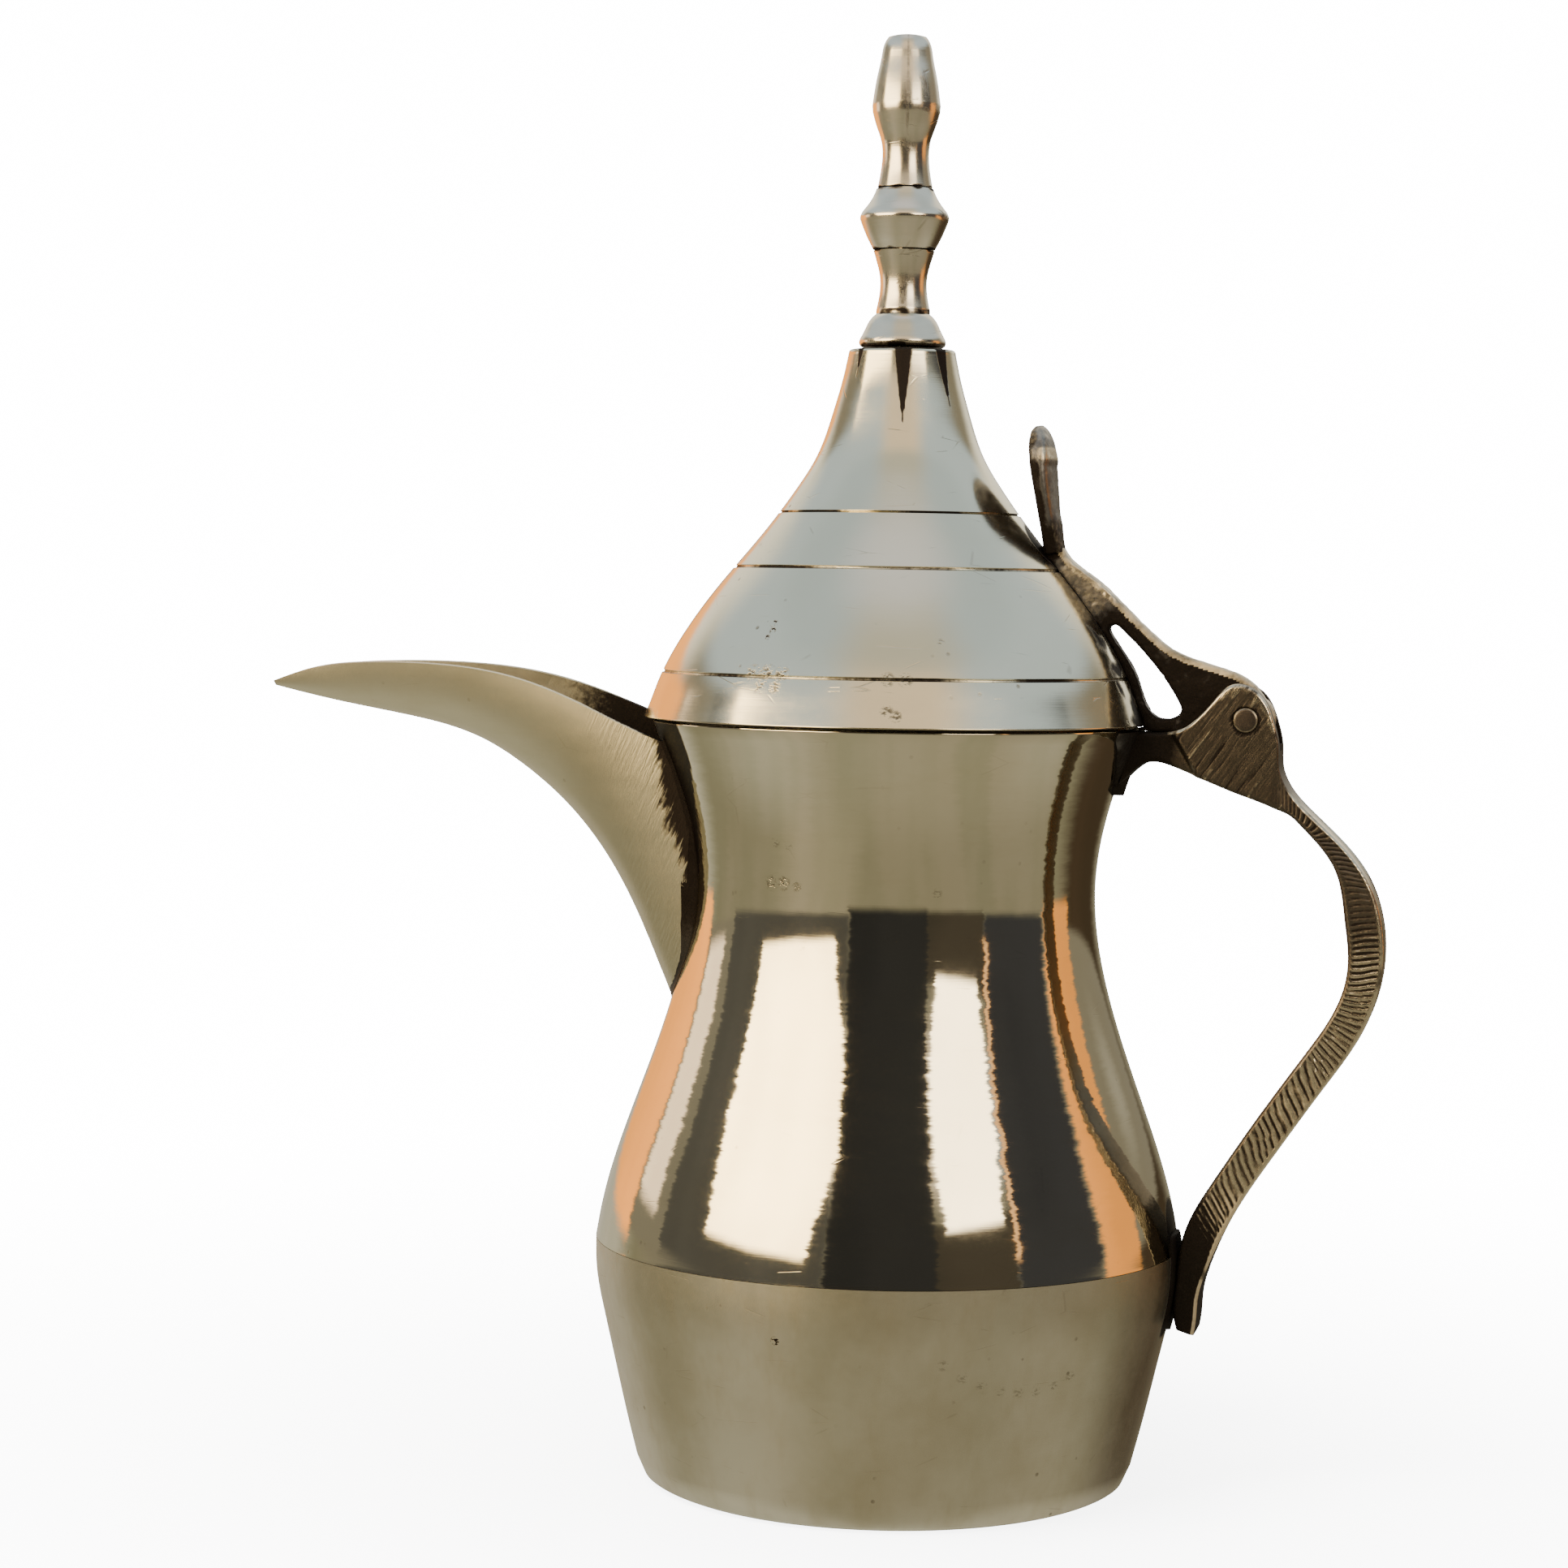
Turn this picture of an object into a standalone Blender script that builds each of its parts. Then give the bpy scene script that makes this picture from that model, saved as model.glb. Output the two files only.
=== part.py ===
"""A dallah: a spun brass coffee pot with a cast beak spout, a cast handle and a hinged bell lid.

Metres, +Z up. The origin is the centre of the flat base. The spout points along -X and the
handle along +X, so the XZ plane is the plane of symmetry and the lid's hinge turns about Y.
"""

import math

import bmesh
import bpy
from mathutils import Matrix, Vector

# --- driving dimensions ----------------------------------------------------------------------

GAP = 0.0003                     # clearance between pieces that touch
WALL = 0.0013                    # spun sheet of the pot and the lid
SOLDER = 0.0010                  # thickness of a soldered joint against the pot
POT_SEGMENTS = 40
SMALL_SEGMENTS = 20

RIM_Z = 0.1475                   # mouth of the pot
SEAM_Z = 0.0470                  # where the upper shell meets the bowl
LID_RIM_Z = 0.1481
LID_TOP_Z = 0.2196
TOTAL_HEIGHT = 0.2800

PIN_X, PIN_Z = 0.0683, 0.1498    # the lid's hinge
PIN_RADIUS = 0.0021
PIN_HOLE_RADIUS = PIN_RADIUS + GAP
CHEEK_HALF_WIDTH = 0.0060
STRAP_HALF_WIDTH = 0.0052
ARM_HALF_WIDTH = 0.0025
SLOT_HALF_WIDTH = ARM_HALF_WIDTH + 0.0004
KNUCKLE_RADIUS = 0.0052
SLOT_FLOOR_Z = PIN_Z - KNUCKLE_RADIUS - 0.0004

STUD_RADIUS = 0.0020
STUD_BORE = STUD_RADIUS + GAP

SPOUT_WALL = 0.0016
SPOUT_KEEL = 0.0022
STRAINER_HOLE_RADIUS = 0.0021

# --- turned outlines, as (radius, height) from top to bottom ---------------------------------

NECK_AND_BELLY = [
    (0.0472, RIM_Z), (0.0422, 0.1334), (0.0393, 0.1165), (0.0415, 0.0985),
    (0.0474, 0.0798), (0.0522, 0.0670), (0.0557, 0.0555), (0.0569, SEAM_Z + GAP / 2),
]
BOWL = [
    (0.0569, SEAM_Z - GAP / 2), (0.0568, 0.0410), (0.0553, 0.0330), (0.0529, 0.0226),
    (0.0502, 0.0115), (0.0484, 0.0045), (0.0471, 0.0012), (0.0448, 0.0000),
]
LID_NECK = [
    (0.0104, 0.2187), (0.0114, 0.2140), (0.0132, 0.2075), (0.0161, 0.1992),
]
LID_BELL = [
    (0.0161, 0.1992), (0.0198, 0.1930), (0.0266, 0.1837), (0.0345, 0.1741),
    (0.0415, 0.1643), (0.0465, 0.1551), (0.0489, LID_RIM_Z),
]
LID_GROOVE_HEIGHTS = (0.1882, 0.1775, 0.1571)
LID_GROOVE_DEPTH = 0.0004
LID_GROOVE_HALF_WIDTH = 0.0005

FINIAL_BUD_TOP = [
    (0.0000, TOTAL_HEIGHT), (0.0036, 0.2797), (0.0044, 0.2785), (0.0057, 0.2723), (0.0066, 0.2665),
]
FINIAL_BUD_FOOT = [
    (0.0066, 0.2648), (0.0057, 0.2624), (0.0048, 0.2598), (0.0045, 0.2570), (0.0047, 0.2543),
    (0.0053, 0.2508),
]
FINIAL_BEAD = [
    (0.0055, 0.2505), (0.0063, 0.2487), (0.0081, 0.2462), (0.0086, 0.2450), (0.0083, 0.2438),
    (0.0072, 0.2412), (0.0060, 0.2389),
]
FINIAL_BASE_SPOOL = [
    (0.0059, 0.2386), (0.0052, 0.2363), (0.0046, 0.2337), (0.0046, 0.2305), (0.0052, 0.2272),
]
FINIAL_BASE_FLANGE = [
    (0.0052, 0.2265), (0.0060, 0.2258), (0.0078, 0.2225), (0.0084, 0.2211), (0.0080, 0.2201),
]

# --- outlines in the XZ plane ----------------------------------------------------------------

CHEEK_TOP = [
    (0.0400, 0.1470), (0.0526, 0.1471), (0.0567, 0.1481), (0.0590, 0.1499), (0.0627, 0.1541),
    (0.0656, 0.1565), (0.0688, 0.1562), (0.0718, 0.1537), (0.0737, 0.1492), (0.0746, 0.1450),
    (0.0745, 0.1410), (0.0762, 0.1372),
]
STRAP_OUTSIDE = [
    (0.0805, 0.1326), (0.0868, 0.1266), (0.0915, 0.1206), (0.0944, 0.1130), (0.0951, 0.1053),
    (0.0943, 0.0991), (0.0907, 0.0897), (0.0844, 0.0801), (0.0756, 0.0672), (0.0675, 0.0543),
    (0.0633, 0.0448), (0.0617, 0.0390), (0.0614, 0.0345), (0.0607, 0.0315),
]
FOOT_END = [(0.0588, 0.0326), (0.0540, 0.0332), (0.0540, 0.0500)]
STRAP_INSIDE = [
    (0.0588, 0.0518), (0.0604, 0.0549), (0.0637, 0.0613), (0.0720, 0.0741), (0.0809, 0.0869),
    (0.0850, 0.0932), (0.0877, 0.0995), (0.0884, 0.1050), (0.0876, 0.1125), (0.0856, 0.1218),
    (0.0821, 0.1268), (0.0764, 0.1322), (0.0663, 0.1360), (0.0569, 0.1396), (0.0501, 0.1413),
    (0.0454, 0.1381), (0.0435, 0.1363), (0.0400, 0.1340),
]
FORK_SLOT = [
    (0.0460, 0.1470), (0.0545, 0.1470), (0.0610, SLOT_FLOOR_Z), (PIN_X + 0.0046, SLOT_FLOOR_Z),
    (PIN_X + 0.0046, PIN_Z - 0.0045), (0.0800, PIN_Z - 0.0045), (0.0800, 0.1650),
    (0.0460, 0.1650),
]
ARM_BACK = [
    (0.0699, 0.1561), (0.0675, 0.1579), (0.0640, 0.1593), (0.0586, 0.1609), (0.0538, 0.1628),
    (0.0499, 0.1658), (0.0435, 0.1719), (0.0386, 0.1763), (0.0332, 0.1806), (0.0322, 0.1822),
]
ARM_FLANK_END = [(0.0240, 0.1822), (0.0240, 0.1490), (0.0480, 0.1484)]
ARM_UNDERSIDE = [(0.0499, 0.1475), (0.0552, 0.1474), (0.0600, 0.1462), (0.0640, 0.1451)]
ARM_WINDOW = [
    (0.0446, 0.1665), (0.0437, 0.1662), (0.0437, 0.1645), (0.0474, 0.1574), (0.0507, 0.1497),
    (0.0517, 0.1497), (0.0556, 0.1512), (0.0550, 0.1530), (0.0504, 0.1597), (0.0468, 0.1640),
]

# --- the thumb piece, in its own plane: (sideways, along its length) -------------------------

THUMB_EDGE = [
    (0.0048, 0.0000), (0.0060, 0.0050), (0.0074, 0.0110), (0.0066, 0.0170), (0.0042, 0.0212),
    (0.0000, 0.0228),
]
THUMB_FOOT = (0.0302, 0.0, 0.1826)
THUMB_LEAN = math.radians(8.0)
THUMB_HALF_THICKNESS = 0.0015

# --- the spout: rim point, keel point and half width of each section, from tip to root -------

SPOUT_SECTIONS = [
    ((-0.1278, 0.1531), (-0.1274, 0.1521), 0.0008),
    ((-0.1180, 0.1561), (-0.1161, 0.1497), 0.0038),
    ((-0.1050, 0.1575), (-0.0994, 0.1468), 0.0073),
    ((-0.0920, 0.1575), (-0.0840, 0.1428), 0.0104),
    ((-0.0800, 0.1565), (-0.0725, 0.1362), 0.0131),
    ((-0.0700, 0.1544), (-0.0648, 0.1298), 0.0151),
    ((-0.0610, 0.1513), (-0.0574, 0.1213), 0.0168),
    ((-0.0530, 0.1480), (-0.0512, 0.1112), 0.0183),
    ((-0.0450, 0.1448), (-0.0447, 0.0968), 0.0195),
    ((-0.0350, 0.1420), (-0.0390, 0.0830), 0.0205),
]
SPOUT_SOLDER_SPREAD = 0.0040

BRACKET_SOLDER_OUTLINE = [
    (-0.0130, 0.1469), (-0.0110, 0.1444), (-0.0064, 0.1398), (0.0000, 0.1345),
    (0.0064, 0.1398), (0.0110, 0.1444), (0.0130, 0.1469),
]
FOOT_SOLDER_OUTLINE = [
    (-0.0062, 0.0500), (-0.0068, 0.0420), (-0.0062, 0.0340), (0.0000, 0.0318),
    (0.0062, 0.0340), (0.0068, 0.0420), (0.0062, 0.0500), (0.0000, 0.0512),
]

# --- finishes: colour, metallic, roughness ---------------------------------------------------

FINISHES = {
    "polished_brass": ((0.70, 0.62, 0.42, 1.0), 1.0, 0.16),
    "satin_brass": ((0.52, 0.48, 0.34, 1.0), 1.0, 0.38),
    "cast_brass": ((0.40, 0.32, 0.20, 1.0), 1.0, 0.45),
    "dark_cast_brass": ((0.18, 0.14, 0.09, 1.0), 0.9, 0.55),
    "solder": ((0.12, 0.11, 0.10, 1.0), 0.8, 0.60),
    "steel": ((0.45, 0.44, 0.42, 1.0), 1.0, 0.40),
}


# --- curves ----------------------------------------------------------------------------------

def smooth(points, steps):
    """A Catmull-Rom curve through the points, with this many steps to each span."""
    knots = [Vector(point) for point in points]
    knots = [2 * knots[0] - knots[1]] + knots + [2 * knots[-1] - knots[-2]]
    curve = []
    for before, start, end, after in zip(knots, knots[1:], knots[2:], knots[3:]):
        for step in range(steps):
            t = step / steps
            linear = (end - before) * t
            square = (2 * before - 5 * start + 4 * end - after) * t * t
            cube = (3 * start - before - 3 * end + after) * t ** 3
            curve.append((2 * start + linear + square + cube) / 2)
    curve.append(knots[-2])
    return curve


def offset(profile, distance):
    """The (radius, height) profile moved outward along its normals, for one that runs downward."""
    moved = []
    last = len(profile) - 1
    for index, point in enumerate(profile):
        along = profile[min(index + 1, last)] - profile[max(index - 1, 0)]
        normal = Vector((-along.y, along.x)).normalized()
        moved.append(point + distance * normal)
    return moved


def at_height(profile, height):
    """The index after which a downward profile crosses a height, and the point there."""
    for index, (upper, lower) in enumerate(zip(profile, profile[1:])):
        if upper.y >= height >= lower.y:
            share = (upper.y - height) / (upper.y - lower.y)
            return index, upper.lerp(lower, share)
    raise ValueError("the profile doesn't reach this height")


def grooved(profile, heights, depth, half_width):
    """The profile with a turned V groove at each height."""
    result = list(profile)
    for height in heights:
        index, centre = at_height(result, height)
        along = (result[index + 1] - result[index]).normalized()
        inward = Vector((along.y, -along.x))
        keep_above = [p for p in result[:index + 1] if (p - centre).length > half_width * 1.5]
        keep_below = [p for p in result[index + 1:] if (p - centre).length > half_width * 1.5]
        notch = [centre - along * half_width, centre + inward * depth, centre + along * half_width]
        result = keep_above + notch + keep_below
    return result


POT_OUTSIDE = smooth(NECK_AND_BELLY, 2) + smooth(BOWL[1:], 2)
LID_OUTSIDE = smooth(LID_NECK, 2) + smooth(LID_BELL, 2)[1:]


# --- objects ---------------------------------------------------------------------------------

def clear_scene():
    for thing in list(bpy.data.objects):
        bpy.data.objects.remove(thing, do_unlink=True)


def new_collection(name):
    collection = bpy.data.collections.new(name)
    bpy.context.scene.collection.children.link(collection)
    return collection


def make_finishes():
    materials = {}
    for name, (colour, metallic, roughness) in FINISHES.items():
        material = bpy.data.materials.new(name)
        material.use_nodes = True
        shader = material.node_tree.nodes["Principled BSDF"]
        shader.inputs["Base Color"].default_value = colour
        shader.inputs["Metallic"].default_value = metallic
        shader.inputs["Roughness"].default_value = roughness
        materials[name] = material
    return materials


def add_object(name, mesh, collection, finish=None):
    thing = bpy.data.objects.new(name, mesh)
    collection.objects.link(thing)
    if finish:
        mesh.materials.clear()
        mesh.materials.append(finish)
    return thing


def turned(name, profile, collection, finish=None, segments=SMALL_SEGMENTS):
    """A profile spun about Z. One that starts and ends on the axis stays open, others close."""
    shape = bmesh.new()
    points = [shape.verts.new((point[0], 0.0, point[1])) for point in profile]
    for start, end in zip(points, points[1:]):
        shape.edges.new((start, end))
    if profile[0][0] > 0 or profile[-1][0] > 0:
        shape.edges.new((points[-1], points[0]))
    mesh = bpy.data.meshes.new(name)
    shape.to_mesh(mesh)
    shape.free()
    thing = add_object(name, mesh, collection, finish)
    spin = thing.modifiers.new("spin", 'SCREW')
    spin.steps = spin.render_steps = segments
    spin.use_merge_vertices = True
    spin.merge_threshold = 0.00001
    return thing


def plate(name, outline, half_thickness, turn, collection, finish=None, at=(0.0, 0.0, 0.0)):
    """A flat outline given thickness both ways, turned out of the XY plane and made a mesh."""
    flat = bpy.data.curves.new(name + "_outline", 'CURVE')
    flat.dimensions = '2D'
    flat.fill_mode = 'BOTH'
    flat.extrude = half_thickness
    line = flat.splines.new('POLY')
    line.points.add(len(outline) - 1)
    for knot, point in zip(line.points, outline):
        knot.co = (point[0], point[1], 0.0, 1.0)
    line.use_cyclic_u = True
    guide = bpy.data.objects.new(name + "_outline", flat)
    collection.objects.link(guide)
    evaluated = guide.evaluated_get(bpy.context.evaluated_depsgraph_get())
    mesh = bpy.data.meshes.new_from_object(evaluated)
    bpy.data.objects.remove(guide, do_unlink=True)
    shape = bmesh.new()
    shape.from_mesh(mesh)
    bmesh.ops.remove_doubles(shape, verts=shape.verts, dist=0.000001)
    bmesh.ops.transform(shape, matrix=Matrix.Translation(at) @ turn.to_4x4(), verts=shape.verts)
    shape.to_mesh(mesh)
    shape.free()
    mesh.name = name
    return add_object(name, mesh, collection, finish)


ACROSS_Y = Matrix(((1, 0, 0), (0, 0, -1), (0, 1, 0)))      # an outline in the XZ plane
ACROSS_X = Matrix(((0, 0, 1), (1, 0, 0), (0, 1, 0)))       # an outline in the YZ plane


def rods(name, ends, radius, collection, finish=None, sides=SMALL_SEGMENTS):
    """Cylinders between pairs of points, in one object."""
    shape = bmesh.new()
    for start, end in ends:
        start, end = Vector(start), Vector(end)
        turn = (end - start).to_track_quat('Z', 'Y').to_matrix().to_4x4()
        place = Matrix.Translation((start + end) / 2) @ turn
        bmesh.ops.create_cone(
            shape, cap_ends=True, segments=sides, radius1=radius, radius2=radius,
            depth=(end - start).length, matrix=place)
    mesh = bpy.data.meshes.new(name)
    shape.to_mesh(mesh)
    shape.free()
    return add_object(name, mesh, collection, finish)


def cut(thing, tool, how='DIFFERENCE'):
    step = thing.modifiers.new(how.lower() + "_" + tool.name, 'BOOLEAN')
    step.operation = how
    step.object = tool
    step.solver = 'EXACT'
    tool.hide_render = True
    tool.display_type = 'WIRE'


def soften(thing, width):
    """Rounds the edges between a plate's faces and its rim."""
    bevel = thing.modifiers.new("soften", 'BEVEL')
    bevel.width = width
    bevel.segments = 2
    bevel.limit_method = 'ANGLE'
    bevel.angle_limit = math.radians(60.0)


def shade_round(thing):
    thing.data.shade_smooth()
    thing.data.set_sharp_from_angle(angle=math.radians(35.0))


# --- cutters ---------------------------------------------------------------------------------

def envelope(name, profile, distance, collection):
    """The solid inside a profile moved outward, closed along the axis."""
    grown = offset(profile, distance)
    top = Vector((0.0, grown[0].y + 0.002))
    foot = Vector((0.0, grown[-1].y - 0.002))
    outline = [top, Vector((grown[0].x, top.y))] + grown + [Vector((grown[-1].x, foot.y)), foot]
    return turned(name, outline, collection, segments=POT_SEGMENTS)


def solder_layer(collection):
    """The thin layer around the pot in which every soldered joint lies."""
    near = offset(POT_OUTSIDE, GAP)
    far = offset(POT_OUTSIDE, GAP + SOLDER)
    return turned("solder_layer", far + near[::-1], collection, segments=POT_SEGMENTS)


# --- the pot ---------------------------------------------------------------------------------

def body_upper(parts, cutters, finish):
    outside = smooth(NECK_AND_BELLY, 2)
    inside = offset(smooth(NECK_AND_BELLY, 1), -WALL)
    inside[0].y = outside[0].y
    inside[-1].y = outside[-1].y
    shell = turned("body_upper", outside + inside[::-1], parts, finish, POT_SEGMENTS)
    rows = ((0.1120, 1), (0.1175, 2), (0.1230, 3), (0.1285, 2), (0.1340, 1))
    spacing = 0.0062
    holes = []
    for height, count in rows:
        for index in range(count):
            side = (index - (count - 1) / 2) * spacing
            holes.append(((-0.060, side, height), (-0.020, side, height)))
    cut(shell, rods("strainer_holes", holes, STRAINER_HOLE_RADIUS, cutters, sides=10))


def body_lower(parts, finish):
    outside = smooth(BOWL, 2)
    inside = offset(smooth(BOWL, 1), -WALL)
    inside[0].y = outside[0].y
    floor = Vector((0.0, outside[-1].y + WALL))
    inside = [point for point in inside if point.y > floor.y + 0.0004]
    corner = Vector((inside[-1].x - 0.0016, floor.y))
    centre = Vector((0.0, outside[-1].y))
    profile = [floor, corner] + inside[::-1] + outside + [centre]
    turned("body_lower", profile, parts, finish, POT_SEGMENTS)


def spout_ring(rim, keel, half_width, spread):
    """One section of the spout: outside from rim to rim, then back along the channel."""
    rim, keel = Vector(rim), Vector(keel)
    down = keel - rim
    depth = down.length
    down.normalize()
    wall = min(SPOUT_WALL, 0.38 * half_width)
    floor = min(SPOUT_KEEL, 0.45 * depth)
    rounds = ((half_width + spread, depth + spread, 12), (half_width - wall, depth - floor, 10))
    ring = []
    for direction, (width, drop, count) in zip((1, -1), rounds):
        for index in range(count + 1):
            turn = math.pi * index / count
            side = -direction * math.cos(turn)
            across = math.copysign(abs(side) ** 0.8, side) * width
            low = rim + down * drop * math.sin(turn)
            ring.append((low.x, across, low.y))
    return ring


def spout_loft(name, collection, finish=None, spread=0.0):
    """The beak as a loft through its sections, closed at both ends."""
    rims = smooth([section[0] for section in SPOUT_SECTIONS], 2)
    keels = smooth([section[1] for section in SPOUT_SECTIONS], 2)
    widths = smooth([(section[2], 0.0) for section in SPOUT_SECTIONS], 2)
    shape = bmesh.new()
    rings = []
    for rim, keel, width in zip(rims, keels, widths):
        points = spout_ring(rim, keel, width.x, spread)
        rings.append([shape.verts.new(point) for point in points])
    for near, far in zip(rings, rings[1:]):
        for index in range(len(near)):
            after = (index + 1) % len(near)
            shape.faces.new((near[index], near[after], far[after], far[index]))
    for ring in (rings[0], rings[-1]):
        shape.faces.new(ring)
    bmesh.ops.recalc_face_normals(shape, faces=shape.faces)
    mesh = bpy.data.meshes.new(name)
    shape.to_mesh(mesh)
    shape.free()
    return add_object(name, mesh, collection, finish)


def spout(parts, finishes, pot_envelope, layer):
    beak = spout_loft("spout", parts, finishes["satin_brass"])
    cut(beak, pot_envelope)
    shade_round(beak)
    joint = spout_loft("spout_solder", parts, finishes["solder"], SPOUT_SOLDER_SPREAD)
    cut(joint, layer, 'INTERSECT')


def handle(parts, cutters, finishes, pot_envelope, layer):
    outline = smooth(CHEEK_TOP[1:], 2) + smooth(STRAP_OUTSIDE, 2) + FOOT_END
    outline = [CHEEK_TOP[0]] + outline + smooth(STRAP_INSIDE, 2)
    casting = plate("handle", outline, CHEEK_HALF_WIDTH, ACROSS_Y, parts, finishes["cast_brass"])
    for vertex in casting.data.vertices:
        away = min(1.0, max(0.0, (0.1400 - vertex.co.z) / 0.0150))
        foot = min(1.0, max(0.0, (0.0600 - vertex.co.z) / 0.0150))
        narrow = away * (1.0 - foot) * (1.0 - STRAP_HALF_WIDTH / CHEEK_HALF_WIDTH)
        vertex.co.y *= 1.0 - narrow
    soften(casting, 0.0009)
    slot = plate("fork_slot", FORK_SLOT, SLOT_HALF_WIDTH, ACROSS_Y, cutters)
    pin_line = [((PIN_X, -0.010, PIN_Z), (PIN_X, 0.010, PIN_Z))]
    bore = rods("cheek_bore", pin_line, PIN_HOLE_RADIUS, cutters)
    for tool in (pot_envelope, slot, bore):
        cut(casting, tool)
    shade_round(casting)
    reach = 0.0300
    for name, edge, middle in (("bracket_solder", BRACKET_SOLDER_OUTLINE, 0.0600),
                               ("foot_solder", FOOT_SOLDER_OUTLINE, 0.0600)):
        patch = plate(name, edge, reach, ACROSS_X, parts, finishes["solder"], (middle, 0.0, 0.0))
        cut(patch, layer, 'INTERSECT')


def hinge_pin(parts, finish):
    reach = CHEEK_HALF_WIDTH + 0.0003
    line = [((PIN_X, -reach, PIN_Z), (PIN_X, reach, PIN_Z))]
    shade_round(rods("hinge_pin", line, PIN_RADIUS, parts, finish))


# --- the lid ---------------------------------------------------------------------------------

def lid_dome(parts, finish):
    shoulder = LID_OUTSIDE[0]
    top = [Vector((STUD_BORE, LID_TOP_Z)), Vector((shoulder.x - 0.0009, LID_TOP_Z))]
    outside = grooved(LID_OUTSIDE, LID_GROOVE_HEIGHTS, LID_GROOVE_DEPTH, LID_GROOVE_HALF_WIDTH)
    inside = offset(smooth(LID_NECK + LID_BELL[1:], 1), -WALL)
    inside[-1].y = LID_RIM_Z
    under = [Vector((inside[0].x - 0.0004, LID_TOP_Z - WALL)), Vector((STUD_BORE, LID_TOP_Z - WALL))]
    return turned("lid_dome", top + outside + inside[::-1] + under, parts, finish, POT_SEGMENTS)


def lid_collar(parts, finish):
    """The ring that centres the lid in the mouth, with the flange that carries it."""
    ring_radius = 0.0429
    thickness = 0.0010
    flange_radius = 0.0472
    flange_foot = RIM_Z + 0.0005
    flange_top = flange_foot + thickness
    foot = 0.1418
    profile = [
        (ring_radius - thickness, flange_top), (flange_radius, flange_top),
        (flange_radius, flange_foot), (ring_radius, flange_foot), (ring_radius, foot),
        (ring_radius - thickness, foot),
    ]
    return turned("lid_collar", profile, parts, finish, POT_SEGMENTS)


def hinge_arm(parts, cutters, finish, lid_envelope):
    """The lid's cast arm: a tail down the bell, a window, and the knuckle in the fork."""
    knuckle = []
    for index in range(13):
        turn = math.radians(-118.0 + 172.0 * index / 12)
        knuckle.append((PIN_X + KNUCKLE_RADIUS * math.cos(turn),
                        PIN_Z + KNUCKLE_RADIUS * math.sin(turn)))
    outline = knuckle + smooth(ARM_BACK, 2) + ARM_FLANK_END + ARM_UNDERSIDE
    arm = plate("hinge_arm", outline, ARM_HALF_WIDTH, ACROSS_Y, parts, finish)
    soften(arm, 0.0004)
    window = plate("arm_window", smooth(ARM_WINDOW, 2), 0.010, ACROSS_Y, cutters)
    pin_line = [((PIN_X, -0.010, PIN_Z), (PIN_X, 0.010, PIN_Z))]
    bore = rods("knuckle_bore", pin_line, PIN_HOLE_RADIUS, cutters)
    for tool in (lid_envelope, window, bore):
        cut(arm, tool)
    shade_round(arm)
    return arm


def thumb_piece(parts, finish, lid_envelope):
    """The leaf that a thumb pushes to lift the lid."""
    right = smooth(THUMB_EDGE, 3)
    left = [Vector((-point.x, point.y)) for point in right[-2::-1]]
    lean = Matrix.Rotation(-THUMB_LEAN, 3, 'Y') @ ACROSS_X
    leaf = plate("thumb_piece", right + left, THUMB_HALF_THICKNESS, lean, parts, finish, THUMB_FOOT)
    soften(leaf, 0.0005)
    cut(leaf, lid_envelope)
    shade_round(leaf)
    return leaf


def bored(profile):
    """A turned piece's outside, closed down its bore."""
    return profile + [Vector((STUD_BORE, profile[-1].y)), Vector((STUD_BORE, profile[0].y))]


def finial(parts, finishes):
    bright = finishes["polished_brass"]
    bore_end = 0.2660
    bud = smooth(FINIAL_BUD_TOP, 2) + smooth(FINIAL_BUD_FOOT, 2)
    bud += [Vector((STUD_BORE, bud[-1].y)), Vector((STUD_BORE, bore_end)), Vector((0.0, bore_end))]
    base = smooth(FINIAL_BASE_SPOOL, 2) + smooth(FINIAL_BASE_FLANGE, 2)
    stud_line = [((0.0, 0.0, 0.2110), (0.0, 0.0, bore_end - GAP))]
    pieces = [
        turned("finial_bud", bud, parts, bright),
        turned("finial_bead", bored(smooth(FINIAL_BEAD, 2)), parts, bright),
        turned("finial_base", bored(base), parts, bright),
        rods("finial_stud", stud_line, STUD_RADIUS, parts, finishes["steel"]),
    ]
    washer_top = LID_TOP_Z - WALL - GAP
    washer_foot = washer_top - 0.0010
    washer = [(STUD_BORE, washer_top), (0.0060, washer_top), (0.0060, washer_foot),
              (STUD_BORE, washer_foot)]
    pieces.append(turned("finial_washer", washer, parts, finishes["steel"]))
    nut_top = washer_foot - GAP
    nut_foot = nut_top - 0.0032
    nut = [(STUD_BORE, nut_top), (0.0040, nut_top), (0.0040, nut_foot), (STUD_BORE, nut_foot)]
    pieces.append(turned("finial_nut", nut, parts, finishes["steel"], segments=6))
    return pieces


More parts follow.
